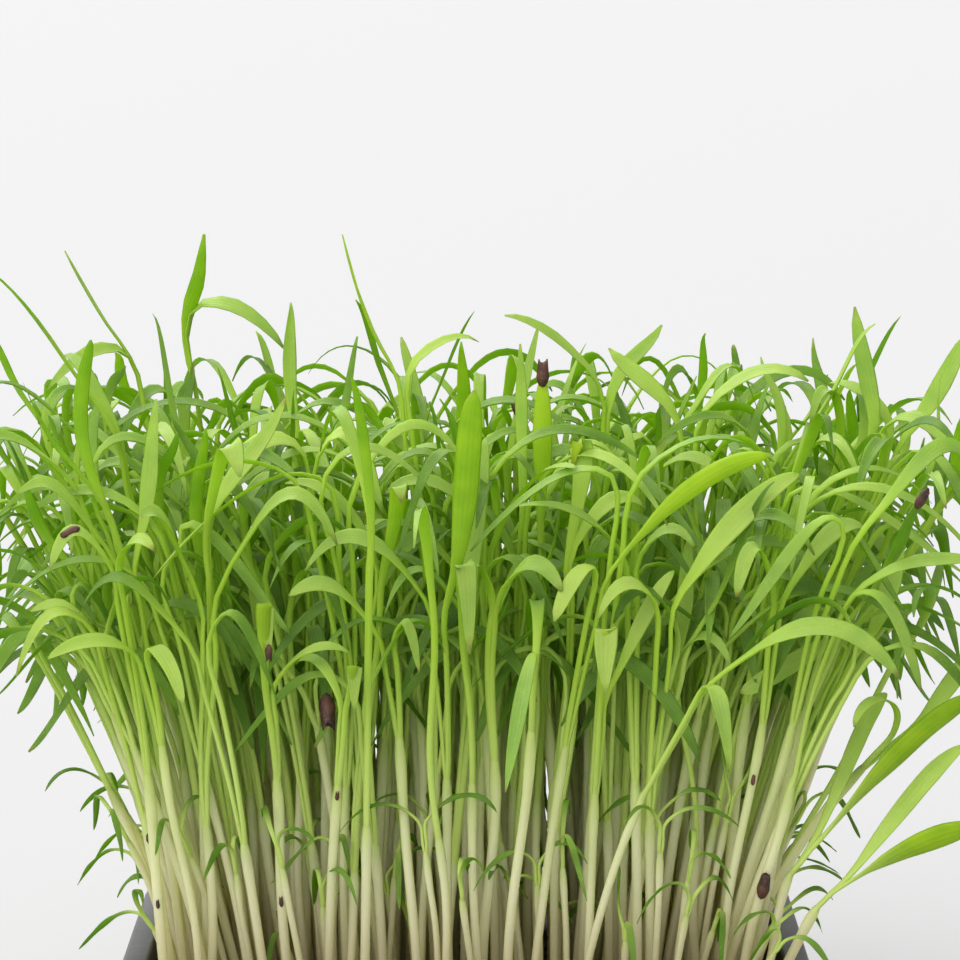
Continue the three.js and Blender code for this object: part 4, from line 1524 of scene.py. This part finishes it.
def cutter_mesh():
    form = bmesh.new()
    channel_size = Vector((CHANNEL_LONG, CHANNEL_WIDE, 2 * CHANNEL_DEEP)) * MM
    for side in (-1, 1):
        channel = bmesh.ops.create_cube(form, size=1)["verts"]
        bmesh.ops.scale(form, vec=channel_size, verts=channel)
        bmesh.ops.translate(form, vec=Vector((0, side * DRAIN_ROW, 0)) * MM, verts=channel)
        for i in (-1, 0, 1):
            hole = bmesh.ops.create_cone(
                form, cap_ends=True, segments=DRAIN_SIDES,
                radius1=DRAIN_RADIUS * MM, radius2=DRAIN_RADIUS * MM, depth=DRILL_LONG * MM,
            )["verts"]
            bmesh.ops.translate(form, vec=Vector((i * DRAIN_PITCH, side * DRAIN_ROW, 0)) * MM, verts=hole)
    return closed(form, bpy.data.meshes.new("drain_cutters"))


def cut_mesh(name, mesh, cutter):
    body = link_piece(name + "_body", mesh)
    tool = link_piece(name + "_tool", cutter)
    modifier = body.modifiers.new("cut", "BOOLEAN")
    modifier.object = tool
    modifier.operation = "DIFFERENCE"
    modifier.solver = "EXACT"
    modifier.use_self = True
    return settled(name, body, tool)


# %% Finish of the plastic
PLASTIC_BLACK = (0.016, 0.017, 0.017, 1)
PLASTIC_GREY = (0.03, 0.031, 0.03, 1)
PLASTIC_DUST = (0.16, 0.13, 0.1, 1)


def plastic_material():
    material, start = new_material("tray plastic")
    pores = grain(start, 0.35, 2.0, 0.5)
    cloud = grain(start, 14.0, 3.0)
    dust = grain(start, 2.2, 4.0, 0.7)
    height = object_height(start)
    worn = (1.0 - height.smooth(0.2, 3.0)) * dust.smooth(0.48, 0.7)
    base = cloud.blend(PLASTIC_BLACK, PLASTIC_GREY)
    dusty = (dust.smooth(0.55, 0.75) * 0.3 + worn * 0.4).blend(base, PLASTIC_DUST)
    roughness = 0.34 + cloud * 0.14 + dust * 0.12
    normal = bumped(start, pores, 0.25, 0.05)
    surface(material, rough_surface(start, dusty, roughness, normal))
    return material


tray = link_piece("fine_tray", cut_mesh("fine_tray", tray_mesh(), cutter_mesh()))
tray.data.materials.clear()
tray.data.materials.append(plastic_material())
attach(tray, "root")
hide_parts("tray")
print("tray triangles", triangles_of(tray.data))

# %% [markdown]
# ## Soil
# Growing mix is a crumbly mass. Its body is a plain block that fills the tray, with a top that rises and
# falls a little, and what the eye takes for soil is the loose crumbs on it. Those are scattered over the
# top by a node tree: about a thousand places at random, a lumpy crumb of a random size and turn on each.

# %% Soil body
SOIL_LOW = FLOOR + FIT_GAP
SOIL_EDGE = SOIL_TOP - 1.6
SOIL_SINKS = 0.7
TOP_RINGS = 36


def soil_top(x, y):
    spot = Vector((x, y, 0))
    return SOIL_TOP - SOIL_SINKS + 0.5 * noise.noise(spot * 0.16) + 0.35 * noise.noise(spot * 0.7)


def soil_mesh():
    side = inner_face(SOIL_TOP) - FIT_GAP
    levels = [
        (SOIL_LOW, inner_face(SOIL_LOW) - FOOT_CHAMFER - FIT_GAP),
        (SOIL_LOW + FOOT_CHAMFER, inner_face(SOIL_LOW + FOOT_CHAMFER) - FIT_GAP),
        (SOIL_EDGE, side),
    ]
    form = bmesh.new()
    stations = outline_stations()
    rings = []
    for height, out in levels:
        flats = [corner + way * (MOUTH_CORNER + out) for corner, way, _ in stations]
        rings.append([form.verts.new((flat.x * MM, flat.y * MM, height * MM)) for flat in flats])
    for ring in range(TOP_RINGS):
        share = 1 - ring / TOP_RINGS
        spots = [flat * share for flat in flats]
        rings.append([form.verts.new(Vector((p.x, p.y, soil_top(p.x, p.y))) * MM) for p in spots])
    skin(form, rings)
    for face in form.faces:
        face.smooth = True
    return closed(form, bpy.data.meshes.new("soil_body"))


# %% Crumbs on the top
CRUMB_DENSITY = 0.26
FACING_UP = 0.6
CRUMBS_FROM = 17
CRUMB_LUMPS = 900
CRUMB_LUMPY = 1.2
CRUMB_SCALE = 1.1


def crumb_tree():
    sockets = {
        "Crumbs to a square millimetre": ("NodeSocketFloat", CRUMB_DENSITY),
        "Smallest crumb": ("NodeSocketFloat", 0.28),
        "Largest crumb": ("NodeSocketFloat", 0.85),
        "Seed": ("NodeSocketInt", 12),
        "Soil material": ("NodeSocketMaterial", None),
    }
    tree, entry = new_tree("scatter crumbs", sockets)
    start = Wire(tree)
    facing = start.add("GeometryNodeInputNormal").component(2)
    high = start.add("GeometryNodeInputPosition").component(2)
    faces_up = start.calc("GREATER_THAN", facing, FACING_UP)
    near_top = start.calc("GREATER_THAN", high, CRUMBS_FROM * MM)
    points = start.add(
        "GeometryNodeDistributePointsOnFaces",
        {
            "Mesh": entry["Geometry"],
            "Selection": faces_up * near_top,
            "Density": entry["Crumbs to a square millimetre"] * 1e6,
            "Seed": entry["Seed"],
        },
    )
    ball = start.add("GeometryNodeMeshIcoSphere", {"Radius": MM, "Subdivisions": 2})
    spot = start.add("GeometryNodeInputPosition")
    lumps = start.add("ShaderNodeTexNoise", {"Vector": spot, "Scale": CRUMB_LUMPS, "Detail": 1.0}, output=1)
    push = (lumps - (0.5, 0.5, 0.5)) * (CRUMB_LUMPY * MM)
    lumpy = start.add("GeometryNodeSetPosition", {"Geometry": ball, "Offset": push})
    size = start.add(
        "FunctionNodeRandomValue",
        {2: entry["Smallest crumb"], 3: entry["Largest crumb"], "Seed": entry["Seed"]},
        output=1,
        data_type="FLOAT",
    )
    turn = start.add(
        "FunctionNodeRandomValue",
        {0: (0, 0, 0), 1: (FULL_TURN, FULL_TURN, FULL_TURN), "Seed": entry["Seed"]},
        data_type="FLOAT_VECTOR",
    )
    crumbs = start.add(
        "GeometryNodeInstanceOnPoints",
        {"Points": points, "Instance": lumpy, "Rotation": turn, "Scale": size * size * CRUMB_SCALE},
    )
    real = realized(tree, crumbs, entry["Geometry"])
    done = start.add("GeometryNodeSetMaterial", {"Geometry": real, "Material": entry["Soil material"]})
    return finished(tree, done)


# %% Finish of the soil
SOIL_BLACK = (0.018, 0.011, 0.006, 1)
SOIL_BROWN = (0.075, 0.045, 0.024, 1)
SOIL_FIBRE = (0.24, 0.16, 0.09, 1)
SOIL_GRAIN = (0.11, 0.07, 0.04, 1)


def soil_material():
    material, start = new_material("growing mix")
    lump = grain(start, 2.4, 4.0, 0.6)
    fine = grain(start, 0.3, 4.0, 0.7)
    fibre = grain(start, 0.7, 6.0, 0.75)
    dark = lump.smooth(0.3, 0.7).blend(SOIL_BLACK, SOIL_BROWN)
    flecked = (fibre.smooth(0.6, 0.72) * 0.7).blend(dark, SOIL_FIBRE)
    colour = (fine.smooth(0.45, 0.7) * 0.4).blend(flecked, SOIL_GRAIN)
    normal = bumped(start, fine * 0.6 + lump * 0.4, 0.9, 0.3)
    surface(material, rough_surface(start, colour, 0.82 + fine * 0.14, normal))
    return material


soil_finish = {"Soil material": soil_material()}
soil = link_piece("fine_soil", run_tree("fine_soil", soil_mesh(), crumb_tree(), soil_finish))
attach(soil, "root")
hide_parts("soil")
print("soil triangles", triangles_of(soil.data))

# %% [markdown]
# ## Floor
# A flat disc, so wide that its edge is far off at the height of the horizon. Its grey is such that, lit by
# these lamps, it comes out as pale as the surround.

# %% Floor
FLOOR_RADIUS = 20
FLOOR_GREY = (0.405, 0.405, 0.405, 1)


def add_floor():
    form = bmesh.new()
    bmesh.ops.create_circle(form, cap_ends=True, segments=64, radius=FLOOR_RADIUS)
    mesh = closed(form, bpy.data.meshes.new("floor"))
    material, start = new_material("floor")
    surface(material, rough_surface(start, FLOOR_GREY, 0.9))
    mesh.materials.append(material)
    return link_piece("floor", mesh)


add_floor()
